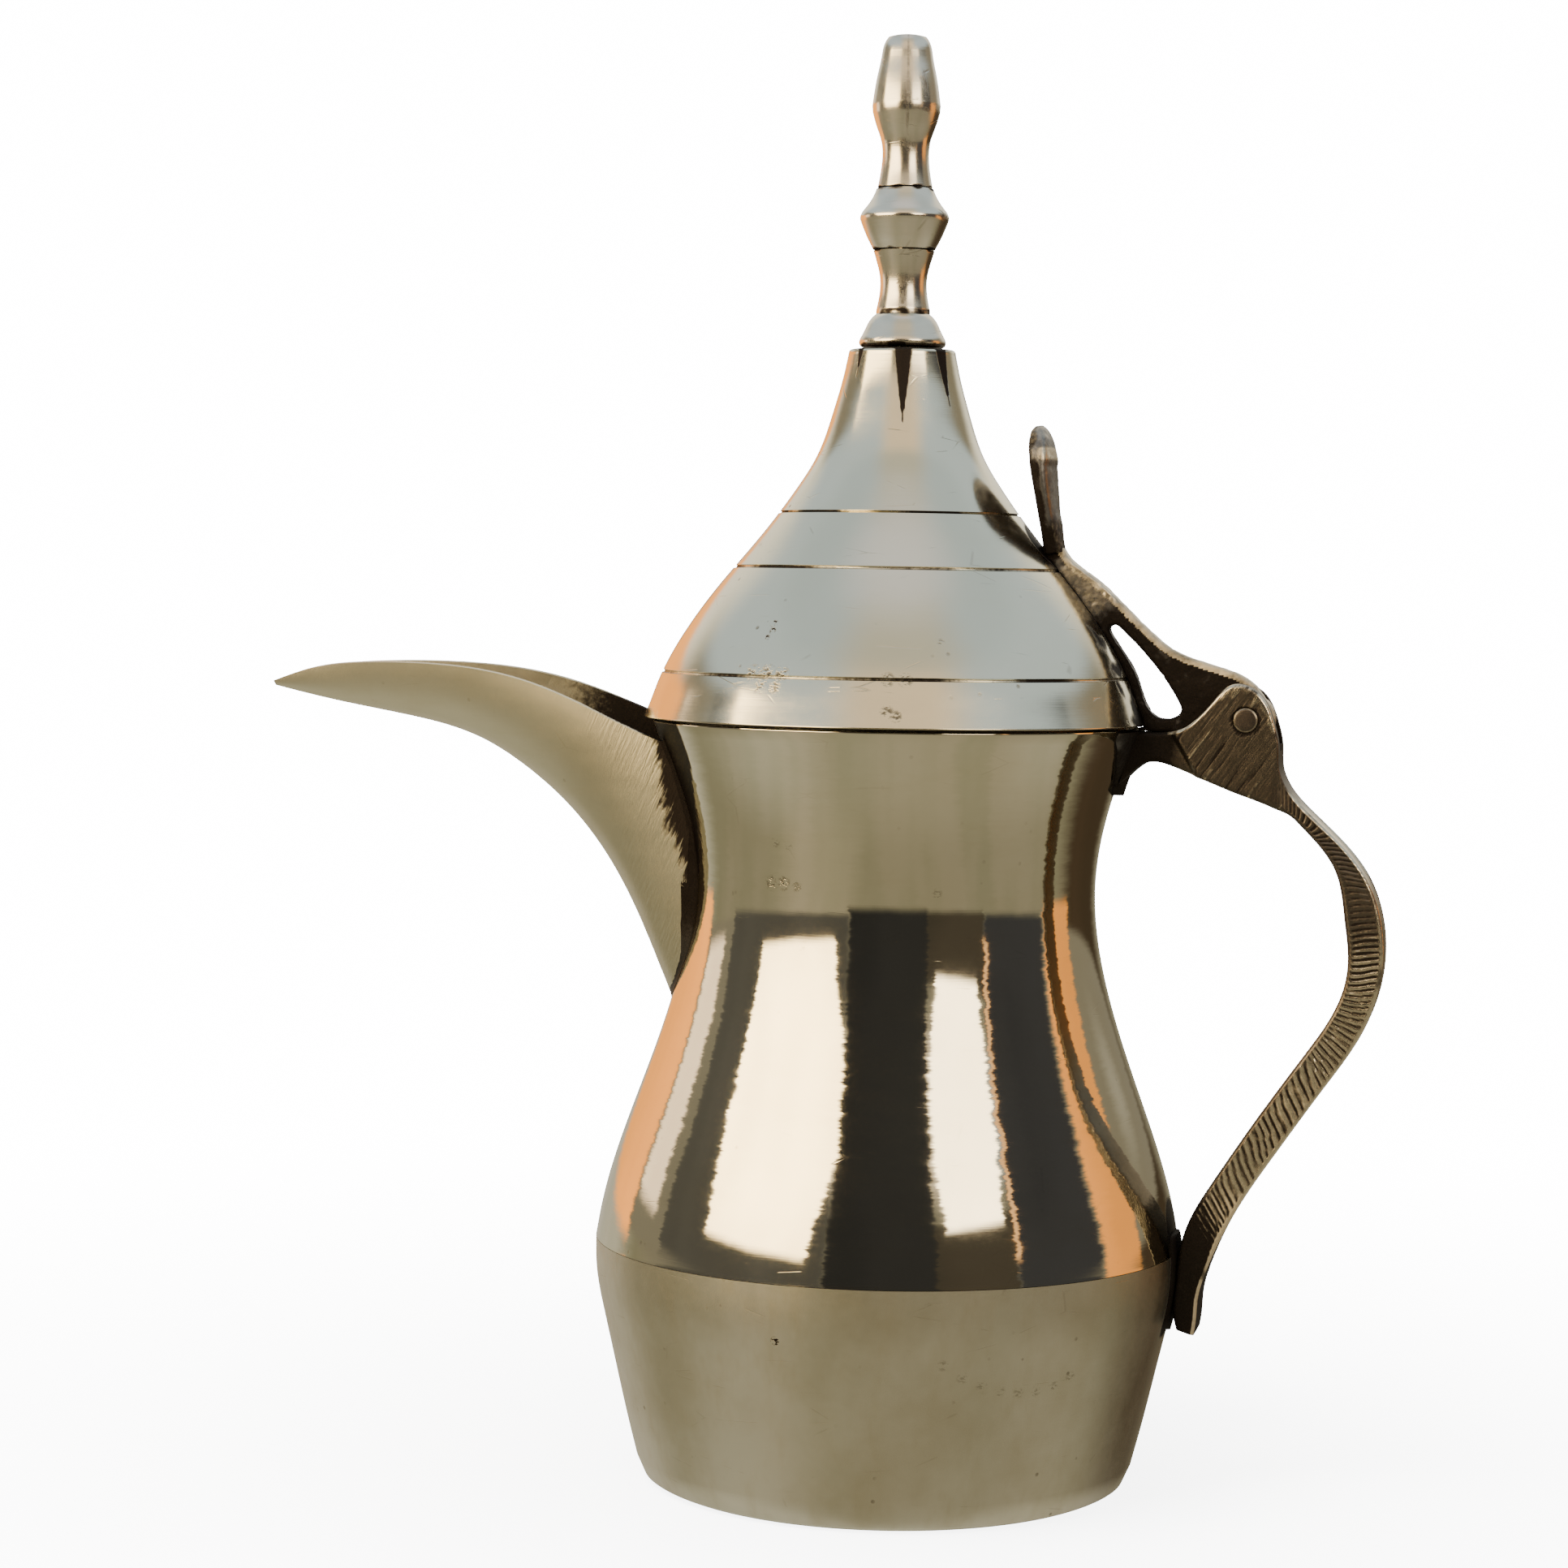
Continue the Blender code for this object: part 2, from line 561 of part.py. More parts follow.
def main():
    clear_scene()
    parts = new_collection("dallah")
    cutters = new_collection("dallah_cutters")
    finishes = make_finishes()
    pot_envelope = envelope("pot_envelope", POT_OUTSIDE, 2 * GAP + SOLDER, cutters)
    lid_envelope = envelope("lid_envelope", LID_OUTSIDE, GAP, cutters)
    layer = solder_layer(cutters)

    body_upper(parts, cutters, finishes["polished_brass"])
    body_lower(parts, finishes["satin_brass"])
    spout(parts, finishes, pot_envelope, layer)
    handle(parts, cutters, finishes, pot_envelope, layer)
    hinge_pin(parts, finishes["cast_brass"])

    lid = [lid_dome(parts, finishes["polished_brass"]), lid_collar(parts, finishes["satin_brass"])]
    lid.append(hinge_arm(parts, cutters, finishes["dark_cast_brass"], lid_envelope))
    lid.append(thumb_piece(parts, finishes["dark_cast_brass"], lid_envelope))
    lid += finial(parts, finishes)

    axis = bpy.data.objects.new("lid_hinge_axis", None)
    axis.location = (PIN_X, 0.0, PIN_Z)
    parts.objects.link(axis)
    for piece in lid:
        piece.parent = axis
        piece.matrix_parent_inverse = Matrix.Translation(axis.location).inverted()
    layer.hide_render = True
    layer.display_type = 'WIRE'


main()
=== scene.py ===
"""The looks of the dallah: smooth turned shells, a lofted beak and strap, rough castings and worn
brass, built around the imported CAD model.

Metres, +Z up, in the CAD's own frame: the origin is the centre of the flat base, the spout points
along -X, the handle along +X, and the lid turns about Y on the pin in the handle's fork.
"""

import math

import bmesh
import bpy
import numpy as np
from mathutils import Matrix, Vector, kdtree, noise


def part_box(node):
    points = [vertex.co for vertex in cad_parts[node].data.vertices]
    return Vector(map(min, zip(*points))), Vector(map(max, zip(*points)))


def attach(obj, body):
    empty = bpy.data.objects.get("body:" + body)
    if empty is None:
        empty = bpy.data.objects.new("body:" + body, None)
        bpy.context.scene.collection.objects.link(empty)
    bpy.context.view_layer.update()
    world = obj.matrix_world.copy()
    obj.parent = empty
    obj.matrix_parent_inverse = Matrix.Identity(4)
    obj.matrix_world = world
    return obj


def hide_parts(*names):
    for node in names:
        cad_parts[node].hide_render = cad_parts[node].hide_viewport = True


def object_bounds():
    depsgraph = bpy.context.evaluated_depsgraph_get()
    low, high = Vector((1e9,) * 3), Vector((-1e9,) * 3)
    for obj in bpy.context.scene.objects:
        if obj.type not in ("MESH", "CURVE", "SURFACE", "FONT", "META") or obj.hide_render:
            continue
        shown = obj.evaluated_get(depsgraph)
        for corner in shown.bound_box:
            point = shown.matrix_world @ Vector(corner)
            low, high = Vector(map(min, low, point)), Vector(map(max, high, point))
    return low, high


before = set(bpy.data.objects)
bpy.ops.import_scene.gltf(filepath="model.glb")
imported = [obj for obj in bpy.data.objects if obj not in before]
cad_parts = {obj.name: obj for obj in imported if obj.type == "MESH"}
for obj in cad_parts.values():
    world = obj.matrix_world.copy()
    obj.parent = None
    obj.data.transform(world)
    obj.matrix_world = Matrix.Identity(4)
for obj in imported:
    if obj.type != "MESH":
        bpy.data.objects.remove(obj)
CAD_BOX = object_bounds()

# --- driving dimensions ----------------------------------------------------------------------

SPIN_STEPS = 240                 # steps round the pot and the lid
SMALL_SPIN_STEPS = 96            # steps round the finial
WALL = 0.0013

RIM_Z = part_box("body_upper")[1][2]
SEAM_Z = 0.0470
LID_RIM_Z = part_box("lid_dome")[0][2]
LID_TOP_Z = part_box("lid_dome")[1][2]
TOTAL_HEIGHT = CAD_BOX[1][2]

PIN = Vector((0.0683, 0.0, 0.1498))
PIN_RADIUS = 0.0021
PIN_HOLE_RADIUS = 0.0024
CHEEK_HALF_WIDTH = 0.0060
STRAP_HALF_WIDTH = 0.0052
ARM_HALF_WIDTH = 0.0025
SLOT_HALF_WIDTH = 0.0029
KNUCKLE_RADIUS = 0.0052

# --- turned outlines, as (radius, height) from top to bottom ---------------------------------

NECK_AND_BELLY = [
    (0.0472, RIM_Z), (0.0422, 0.1334), (0.0393, 0.1165), (0.0415, 0.0985),
    (0.0473, 0.0798), (0.0519, 0.0670), (0.0553, 0.0555), (0.0562, 0.0512),
    (0.0569, SEAM_Z),
]
BOWL = [
    (0.0569, SEAM_Z), (0.0567, 0.0405), (0.0553, 0.0330), (0.0529, 0.0226),
    (0.0503, 0.0115), (0.0485, 0.0045), (0.0473, 0.0014), (0.0448, 0.0000),
]
LID_NECK = [
    (0.0104, 0.2187), (0.0114, 0.2140), (0.0132, 0.2075), (0.0161, 0.1992),
]
LID_BELL = [
    (0.0161, 0.1992), (0.0198, 0.1930), (0.0266, 0.1837), (0.0345, 0.1741),
    (0.0415, 0.1643), (0.0463, 0.1551), (0.0476, 0.1516), (0.0489, LID_RIM_Z),
]
LID_GROOVE_HEIGHTS = (0.1882, 0.1775, 0.1571)
LID_GROOVE_DEPTH = 0.00035
LID_GROOVE_HALF_WIDTH = 0.00038
LID_DRIPS = ((1.0, 13.0, 0.2052), (46.0, 11.0, 0.2085), (-50.0, 6.0, 0.2140))
STRAINER_ROWS = ((0.1120, 1), (0.1175, 2), (0.1230, 3), (0.1285, 2), (0.1340, 1))
STRAINER_SPACING = 0.0062
STRAINER_HOLE_RADIUS = 0.0021

FINIAL_BUD_TOP = [
    (0.0000, TOTAL_HEIGHT), (0.0020, 0.2799), (0.0037, 0.2795), (0.0043, 0.2786),
    (0.0050, 0.2757), (0.0057, 0.2723), (0.0064, 0.2680), (0.0066, 0.2664),
]
FINIAL_BUD_FOOT = [
    (0.0065, 0.2651), (0.0057, 0.2624), (0.0048, 0.2598), (0.0045, 0.2570), (0.0047, 0.2543),
    (0.0053, 0.2508),
]
FINIAL_BEAD = [
    (0.0055, 0.2505), (0.0063, 0.2487), (0.0081, 0.2462), (0.0086, 0.2450), (0.0083, 0.2438),
    (0.0072, 0.2412), (0.0060, 0.2389),
]
FINIAL_SPOOL = [
    (0.0059, 0.2386), (0.0052, 0.2363), (0.0046, 0.2337), (0.0046, 0.2305), (0.0052, 0.2272),
]
FINIAL_FLANGE = [
    (0.0052, 0.2265), (0.0060, 0.2258), (0.0078, 0.2225), (0.0084, 0.2211), (0.0083, 0.2205),
    (0.0079, 0.2201),
]
FINIAL_JOINTS = (0.2658, 0.2506, 0.2388, 0.2268, 0.2203)
STUD_BORE = 0.0023
STUD_BORE_TOP = 0.2660
FINIAL_STAINS = [  # degrees round from the front, height, spread in degrees and in height
    (2.0, 0.2590, 24.0, 0.0022), (-4.0, 0.2325, 26.0, 0.0017), (-2.0, 0.2300, 9.0, 0.0026),
    (40.0, 0.2655, 14.0, 0.0014), (34.0, 0.2700, 12.0, 0.0030), (60.0, 0.2452, 20.0, 0.0014),
]

# --- the handle: (outer point, inner point) of each section in the XZ plane ------------------

HANDLE_SECTIONS = [
    ((0.0400, 0.1470), (0.0400, 0.1340)), ((0.0440, 0.1470), (0.0435, 0.1363)),
    ((0.0480, 0.1470), (0.0460, 0.1386)), ((0.0526, 0.1471), (0.0501, 0.1413)),
    ((0.0567, 0.1481), (0.0540, 0.1407)), ((0.0590, 0.1499), (0.0569, 0.1396)),
    ((0.0627, 0.1541), (0.0606, 0.1382)), ((0.0656, 0.1565), (0.0637, 0.1370)),
    ((0.0688, 0.1562), (0.0663, 0.1360)), ((0.0718, 0.1537), (0.0689, 0.1351)),
    ((0.0737, 0.1492), (0.0712, 0.1343)), ((0.0746, 0.1450), (0.0730, 0.1336)),
    ((0.0748, 0.1410), (0.0747, 0.1329)), ((0.0765, 0.1370), (0.0764, 0.1322)),
    ((0.0805, 0.1326), (0.0789, 0.1301)), ((0.0868, 0.1266), (0.0821, 0.1268)),
    ((0.0915, 0.1206), (0.0856, 0.1218)), ((0.0944, 0.1130), (0.0876, 0.1125)),
    ((0.0951, 0.1053), (0.0884, 0.1050)), ((0.0943, 0.0991), (0.0877, 0.0995)),
    ((0.0907, 0.0897), (0.0850, 0.0932)), ((0.0844, 0.0801), (0.0809, 0.0869)),
    ((0.0756, 0.0672), (0.0720, 0.0741)), ((0.0675, 0.0543), (0.0637, 0.0613)),
    ((0.0633, 0.0448), (0.0588, 0.0518)), ((0.0617, 0.0390), (0.0572, 0.0410)),
    ((0.0614, 0.0345), (0.0571, 0.0350)), ((0.0610, 0.0320), (0.0576, 0.0330)),
]
HANDLE_SPAN_STEPS = 22
STEM_HALF_WIDTH = 0.0038
SCAR_HEIGHTS = (0.1080, 0.1120, 0.1196, 0.1300, 0.1406, 0.1480)  # dark solder and painted shadow beside the beak
SCAR_TURNS = (21.0, 26.5, 31.0, 35.0, 40.5, 39.5)                # degrees round from the spout
RIB_DEPTH = 0.00019
RIB_PITCH = 0.00115
SADDLE_OUTLINE = [
    (0.0128, 0.1470), (0.0130, 0.1462), (0.0110, 0.1444), (0.0080, 0.1418),
    (0.0058, 0.1398), (0.0038, 0.1378), (0.0020, 0.1360), (0.0004, 0.1346),
]
FORK_SLOT = [
    (0.0460, 0.1470), (0.0545, 0.1470), (0.0610, 0.1442), (0.0729, 0.1442), (0.0729, 0.1453),
    (0.0800, 0.1453), (0.0800, 0.1650), (0.0460, 0.1650),
]

# --- the lid's casting, in the XZ plane ------------------------------------------------------

ARM_BACK = [
    (0.0699, 0.1561), (0.0675, 0.1579), (0.0640, 0.1593), (0.0586, 0.1609), (0.0538, 0.1628),
    (0.0499, 0.1658), (0.0435, 0.1719), (0.0386, 0.1763), (0.0332, 0.1806), (0.0322, 0.1822),
]
ARM_GREY = Vector((0.0365, 0.1745))   # the middle of the arm's rubbed, paler patch
ARM_FLANK_END = [(0.0275, 0.1822), (0.0275, 0.1790)]
ARM_UNDERSIDE = [
    (0.0484, 0.1479), (0.0499, 0.1470), (0.0552, 0.1469), (0.0600, 0.1459), (0.0640, 0.1450),
]
ARM_TONGUE = [
    (0.0476, 0.14785), (0.0476, 0.1473), (0.0500, 0.14715), (0.0545, 0.14715), (0.0560, 0.1480),
    (0.0540, 0.1488), (0.0505, 0.1484), (0.0492, 0.14785),
]
ARM_WINDOW = [
    (0.0430, 0.1673), (0.0417, 0.1670), (0.0426, 0.1646), (0.0472, 0.1570), (0.0506, 0.1502),
    (0.0517, 0.1497), (0.0556, 0.1512), (0.0550, 0.1530), (0.0504, 0.1597), (0.0465, 0.1640),
]

# --- the thumb leaf: height up the leaf, half width, half thickness --------------------------

THUMB_SECTIONS = [
    (-0.0008, 0.0036, 0.0020), (0.0018, 0.0046, 0.0018), (0.0058, 0.0062, 0.0018),
    (0.0120, 0.0077, 0.0020), (0.0172, 0.0076, 0.0022), (0.0204, 0.0064, 0.0020),
    (0.0226, 0.0042, 0.0015), (0.0237, 0.0014, 0.0007),
]
THUMB_LEDGE = 0.0180             # the ledge across the leaf, lightened as wear and a painted highlight
THUMB_FOOT = Vector((0.0304, 0.0, 0.1817))
THUMB_LEAN = math.radians(8.0)

# --- the beak: rim point, keel point and half width of each section, from tip to root --------

SPOUT_SECTIONS = [
    ((-0.1278, 0.1531), (-0.1274, 0.1521), 0.0008),
    ((-0.1180, 0.1561), (-0.1161, 0.1497), 0.0038),
    ((-0.1050, 0.1575), (-0.0994, 0.1468), 0.0073),
    ((-0.0920, 0.1575), (-0.0840, 0.1428), 0.0104),
    ((-0.0800, 0.1565), (-0.0725, 0.1362), 0.0131),
    ((-0.0700, 0.1544), (-0.0648, 0.1298), 0.0151),
    ((-0.0610, 0.1513), (-0.0574, 0.1213), 0.0168),
    ((-0.0530, 0.1480), (-0.0512, 0.1112), 0.0183),
    ((-0.0450, 0.1448), (-0.0447, 0.0968), 0.0195),
    ((-0.0350, 0.1420), (-0.0390, 0.0830), 0.0205),
]
ROOT_HEIGHTS = (0.0880, 0.1000, 0.1090, 0.1196, 0.1300, 0.1406, 0.1480)
ROOT_REACHES = (0.0008, 0.0012, 0.0019, 0.0042, 0.0084, 0.0036, 0.0027)  # how far the dark band reaches at the root: tarnished solder and painted shadow
SPOUT_WALL = 0.0016
SPOUT_KEEL = 0.0022
SPOUT_SPAN_STEPS = 14
ROUND_STEPS = 40

# --- camera and surroundings -----------------------------------------------------------------

CAMERA_AZIMUTH = math.radians(11.0)
CAMERA_DISTANCE = 0.720
CAMERA_HEIGHT = 0.1747
CAMERA_TARGET = Vector((-0.0221, 0.0, 0.1350))
CAMERA_FIELD = math.radians(23.9)
CAMERA_ROLL = math.radians(0.9)
FRONT = 79.0                     # degrees from the handle round to the side that faces the camera
BACKDROP = 16.0                  # how bright the camera sees the backdrop


# --- curves ----------------------------------------------------------------------------------

def spline(points, steps):
    """A natural cubic spline through the points, by chord length, with this many steps a span."""
    knots = np.array([tuple(point) for point in points], dtype=float)
    gaps = np.linalg.norm(np.diff(knots, axis=0), axis=1)
    count = len(knots)
    system = np.eye(count)
    right = np.zeros_like(knots)
    for row in range(1, count - 1):
        before, after = gaps[row - 1], gaps[row]
        system[row, row - 1:row + 2] = (before, 2 * (before + after), after)
        steepening = (knots[row + 1] - knots[row]) / after - (knots[row] - knots[row - 1]) / before
        right[row] = 6 * steepening
    bend = np.linalg.solve(system, right)
    curve = []
    for index, gap in enumerate(gaps):
        start, end = knots[index], knots[index + 1]
        first, last = bend[index], bend[index + 1]
        for step in range(steps):
            t = gap * step / steps
            slope = (end - start) / gap - gap * (2 * first + last) / 6
            cubic = (last - first) * t ** 3 / (6 * gap)
            curve.append(start + slope * t + first * t * t / 2 + cubic)
    curve.append(knots[-1])
    return [Vector(point) for point in curve]


def offset(profile, distance):
    """A downward (radius, height) profile moved outward along its normals."""
    moved = []
    last = len(profile) - 1
    for index, point in enumerate(profile):
        along = profile[min(index + 1, last)] - profile[max(index - 1, 0)]
        normal = Vector((-along.y, along.x)).normalized()
        moved.append(point + distance * normal)
    return moved


def grooved(profile, heights, depth, half_width):
    """The profile with a rounded turned groove at each height."""
    result = []
    last = len(profile) - 1
    for index, (upper, lower) in enumerate(zip(profile, profile[1:])):
        result.append(upper)
        for height in heights:
            if upper.y >= height > lower.y:
                share = (upper.y - height) / (upper.y - lower.y)
                centre = upper.lerp(lower, share)
                along = (profile[min(index + 2, last)] - profile[max(index - 1, 0)]).normalized()
                inward = Vector((along.y, -along.x))
                for place in (-1.3, -1.0, -0.75, -0.4, 0.0, 0.4, 0.75, 1.0, 1.3):
                    dip = max(0.0, 1.0 - place * place) ** 0.7
                    result.append(centre + along * half_width * place + inward * depth * dip)
    result.append(profile[-1])
    cleaned = [result[0]]
    for point in result[1:]:
        if point.y < cleaned[-1].y - 0.000004:
            cleaned.append(point)
    return cleaned


def rounded(corner, before, after, radius, steps=4):
    """Points that round a corner between its two neighbours."""
    start = corner + (before - corner).normalized() * radius
    end = corner + (after - corner).normalized() * radius
    points = []
    for step in range(steps + 1):
        t = step / steps
        points.append(start.lerp(corner, t).lerp(corner.lerp(end, t), t))
    return points


def outline_width(outline, height):
    """The half width of a (half width, height) outline at a height, below zero outside it."""
    if height < outline[-1][1]:
        return height - outline[-1][1]
    heights = [point[1] for point in outline][::-1]
    widths = [point[0] for point in outline][::-1]
    return float(np.interp(height, heights, widths))


def radius_at(profile, height):
    """The radius of a downward profile at a height."""
    heights = [point.y for point in profile][::-1]
    radii = [point.x for point in profile][::-1]
    return float(np.interp(height, heights, radii))


UPPER_OUTSIDE = spline(NECK_AND_BELLY, 12)
BOWL_OUTSIDE = spline(BOWL[:-2], 8) + spline(BOWL[-3:], 6)[7:]
POT_OUTSIDE = UPPER_OUTSIDE + BOWL_OUTSIDE[1:]
LID_OUTSIDE = spline(LID_NECK + LID_BELL[1:], 12)


# --- meshes ----------------------------------------------------------------------------------

def placed(name, data):
    """A new object in the scene."""
    thing = bpy.data.objects.new(name, data)
    bpy.context.scene.collection.objects.link(thing)
    return thing


def evaluated_mesh(thing):
    """A new mesh with the object's curve or modifiers worked out."""
    evaluated = thing.evaluated_get(bpy.context.evaluated_depsgraph_get())
    return bpy.data.meshes.new_from_object(evaluated)


def piece(name, mesh, body, node, look, **amounts):
    """Adds a finished piece that stands for a CAD node. The amounts, tarnish (with painted shade),
    wear (with painted highlights) and filed, are functions of a point that the materials read."""
    for layer, amount in amounts.items():
        mark(mesh, layer, amount)
    slot, sharp_degrees = SLOTS[look]
    thing = placed(name, mesh)
    mesh.materials.clear()
    mesh.materials.append(MATERIALS[look])
    mesh.shade_smooth()
    mesh.set_sharp_from_angle(angle=math.radians(sharp_degrees))
    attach(thing, body)
    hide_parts(node)


def to_mesh(name, vertices, faces):
    mesh = bpy.data.meshes.new(name)
    mesh.from_pydata([tuple(vertex) for vertex in vertices], [], faces)
    shape = bmesh.new()
    shape.from_mesh(mesh)
    bmesh.ops.recalc_face_normals(shape, faces=shape.faces)
    shape.to_mesh(mesh)
    shape.free()
    return mesh


def lathe(name, outline, steps=SPIN_STEPS):
    """A (radius, height) outline spun about Z, closed to a ring unless it ends on the axis."""
    vertices, rings = [], []
    for radius, height in outline:
        if radius < 0.000001:
            rings.append([len(vertices)] * steps)
            vertices.append((0.0, 0.0, height))
            continue
        rings.append(list(range(len(vertices), len(vertices) + steps)))
        for step in range(steps):
            turn = 2 * math.pi * step / steps
            vertices.append((radius * math.cos(turn), radius * math.sin(turn), height))
    pairs = list(zip(rings, rings[1:]))
    if outline[0][0] > 0.000001 or outline[-1][0] > 0.000001:
        pairs.append((rings[-1], rings[0]))
    faces = []
    for near, far in pairs:
        for step in range(steps):
            after = (step + 1) % steps
            corners = [near[step], near[after], far[after], far[step]]
            faces.append(tuple(dict.fromkeys(corners)))
    return to_mesh(name, vertices, faces)


def loft(name, rings):
    """Closed rings of equal length joined into a solid, capped at both ends."""
    size = len(rings[0])
    vertices = [point for ring in rings for point in ring]
    faces = []
    for index in range(len(rings) - 1):
        near, far = index * size, (index + 1) * size
        for step in range(size):
            after = (step + 1) % size
            faces.append((near + step, near + after, far + after, far + step))
    faces.append(tuple(range(size)))
    faces.append(tuple(range(len(vertices) - size, len(vertices))))
    return to_mesh(name, vertices, faces)


def flat_plate(name, outlines, half_thickness, edge=0.0):
    """Flat XZ outlines, the later ones as holes, given thickness both ways along Y."""
    flat = bpy.data.curves.new(name, 'CURVE')
    flat.dimensions = '2D'
    flat.fill_mode = 'BOTH'
    flat.extrude = half_thickness - edge
    flat.bevel_depth = edge
    flat.bevel_resolution = 3
    flat.offset = -edge
    for outline in outlines:
        line = flat.splines.new('POLY')
        line.points.add(len(outline) - 1)
        for knot, point in zip(line.points, outline):
            knot.co = (point[0], point[1], 0.0, 1.0)
        line.use_cyclic_u = True
    guide = placed(name, flat)
    mesh = evaluated_mesh(guide)
    bpy.data.objects.remove(guide, do_unlink=True)
    shape = bmesh.new()
    shape.from_mesh(mesh)
    bmesh.ops.remove_doubles(shape, verts=shape.verts, dist=0.000001)
    upright = Matrix(((1, 0, 0), (0, 0, -1), (0, 1, 0))).to_4x4()
    bmesh.ops.transform(shape, matrix=upright, verts=shape.verts)
    bmesh.ops.recalc_face_normals(shape, faces=shape.faces)
    shape.to_mesh(mesh)
    shape.free()
    return mesh


def with_modifiers(mesh, add_modifiers):
    """The mesh after the modifiers that add_modifiers(object) puts on it."""
    holder = placed(mesh.name, mesh)
    helpers = add_modifiers(holder) or []
    result = evaluated_mesh(holder)
    for thing in [holder] + helpers:
        bpy.data.objects.remove(thing, do_unlink=True)
    return result


def carved(mesh, cutters):
    """The mesh with the solids in the other meshes cut away."""
    def add_cuts(holder):
        helpers = []
        for cutter in cutters:
            tool = placed(cutter.name, cutter)
            cut = holder.modifiers.new(cutter.name, 'BOOLEAN')
            cut.object = tool
            cut.solver = 'EXACT'
            helpers.append(tool)
        return helpers
    return with_modifiers(mesh, add_cuts)


def recast(mesh, voxel):
    """The mesh rebuilt from small even faces, with its edges slightly softened, as a casting."""
    def add_remesh(holder):
        remesh = holder.modifiers.new("recast", 'REMESH')
        remesh.mode = 'VOXEL'
        remesh.voxel_size = voxel
        relax = holder.modifiers.new("relax", 'SMOOTH')
        relax.factor = 0.5
        relax.iterations = 2
    return with_modifiers(mesh, add_remesh)


def roughen(mesh, depth, scale, seed):
    """Pushes each vertex in by casting pits and unevenness, never out."""
    shift = Vector((seed, 2.0 * seed, 3.0 * seed))
    normals = [vertex.normal.copy() for vertex in mesh.vertices]
    for vertex, normal in zip(mesh.vertices, normals):
        place = vertex.co * scale + shift
        wave = 0.5 + 0.5 * noise.fractal(place, 0.6, 2.2, 3)
        pit = max(0.0, noise.noise(place * 1.7) - 0.25)
        vertex.co -= normal * depth * (0.55 * wave + 1.6 * pit)


def fade(value, start, end):
    """0 before start, 1 after end and smooth between, also where end is below start."""
    t = min(1.0, max(0.0, (value - start) / (end - start)))
    return t * t * (3.0 - 2.0 * t)


def mark(mesh, name, amount):
    """Stores amount(point), from 0 to 1, on each vertex for the materials to read."""
    layer = mesh.attributes.new(name, 'FLOAT', 'POINT')
    values = [min(1.0, max(0.0, amount(vertex.co))) for vertex in mesh.vertices]
    layer.data.foreach_set("value", values)


def remembered(points, values, reach=0.0006):
    """A function that looks up the value stored at the nearest of the points."""
    tree = kdtree.KDTree(len(points))
    for index, point in enumerate(points):
        tree.insert(point, index)
    tree.balance()

    def look_up(place):
        index, gap = tree.find(place)[1:]
        return values[index] if gap < reach else 0.0
    return look_up


# --- materials -------------------------------------------------------------------------------

class Shader:
    """Adds nodes to a material or world and links them."""

    def __init__(self, owner):
        owner.use_nodes = True
        self.tree = owner.node_tree
        self.tree.nodes.clear()

    def node(self, kind, inputs=None, **settings):
        made = self.tree.nodes.new('ShaderNode' + kind)
        for name, value in settings.items():
            setattr(made, name, value)
        for name, value in (inputs or {}).items():
            if isinstance(value, bpy.types.NodeSocket):
                self.tree.links.new(value, made.inputs[name])
            else:
                made.inputs[name].default_value = value
        return made

    def math(self, operation, *values):
        return self.node('Math', dict(enumerate(values)), operation=operation).outputs[0]

    def times(self, first, second):
        return self.math('MULTIPLY', first, second)

    def plus(self, first, second):
        return self.math('ADD', first, second)

    def minus(self, first, second):
        return self.math('SUBTRACT', first, second)

    def swing(self, value, amount):
        """A 0 to 1 value as a change up or down, amount from end to end."""
        return self.times(self.minus(value, 0.5), amount)

    def vector(self, operation, *values):
        inputs = dict(enumerate(values))
        return self.node('VectorMath', inputs, operation=operation).outputs[0]

    def scaled(self, point, amounts):
        return self.vector('MULTIPLY', point, amounts)

    def noise(self, point, scale, detail=2.0, roughness=0.5):
        inputs = {"Vector": point, "Scale": scale, "Detail": detail, "Roughness": roughness}
        return self.node('TexNoise', inputs).outputs[0]

    def stretched(self, point, amounts, detail=2.0, roughness=0.6):
        """Noise finer along some axes than along others."""
        return self.noise(self.vector('MULTIPLY', point, amounts), 1.0, detail, roughness)

    def attribute(self, name):
        return self.node('Attribute', attribute_name=name).outputs["Fac"]

    def remap(self, value, low, high, to_low=0.0, to_high=1.0):
        inputs = {0: value, 1: low, 2: high, 3: to_low, 4: to_high}
        made = self.node('MapRange', inputs, interpolation_type='SMOOTHSTEP')
        return made.outputs[0]

    def band(self, value, low, high, soft):
        rise = self.remap(value, low - soft, low + soft)
        fall = self.remap(value, high - soft, high + soft, 1.0, 0.0)
        return self.times(rise, fall)

    def mix(self, share, first, second):
        made = self.node('Mix', data_type='RGBA')
        sockets = {0: share, 6: first, 7: second}
        for index, value in sockets.items():
            if isinstance(value, bpy.types.NodeSocket):
                self.tree.links.new(value, made.inputs[index])
            elif index:
                made.inputs[index].default_value = (*value[:3], 1.0)
            else:
                made.inputs[index].default_value = value
        return made.outputs[2]

    def blend(self, share, first, second):
        both = self.node('MixShader', {0: share})
        self.tree.links.new(first.outputs[0], both.inputs[1])
        self.tree.links.new(second.outputs[0], both.inputs[2])
        return both

    def finish(self, shader, kind='OutputMaterial'):
        self.tree.links.new(shader.outputs[0], self.node(kind).inputs[0])

    def spot(self, point, centre, radius):
        """1 at a point on the object, falling to 0 at a radius from it."""
        gap = self.node('VectorMath', {0: point, 1: centre}, operation='DISTANCE')
        return self.remap(gap.outputs["Value"], 0.35 * radius, radius, 1.0, 0.0)


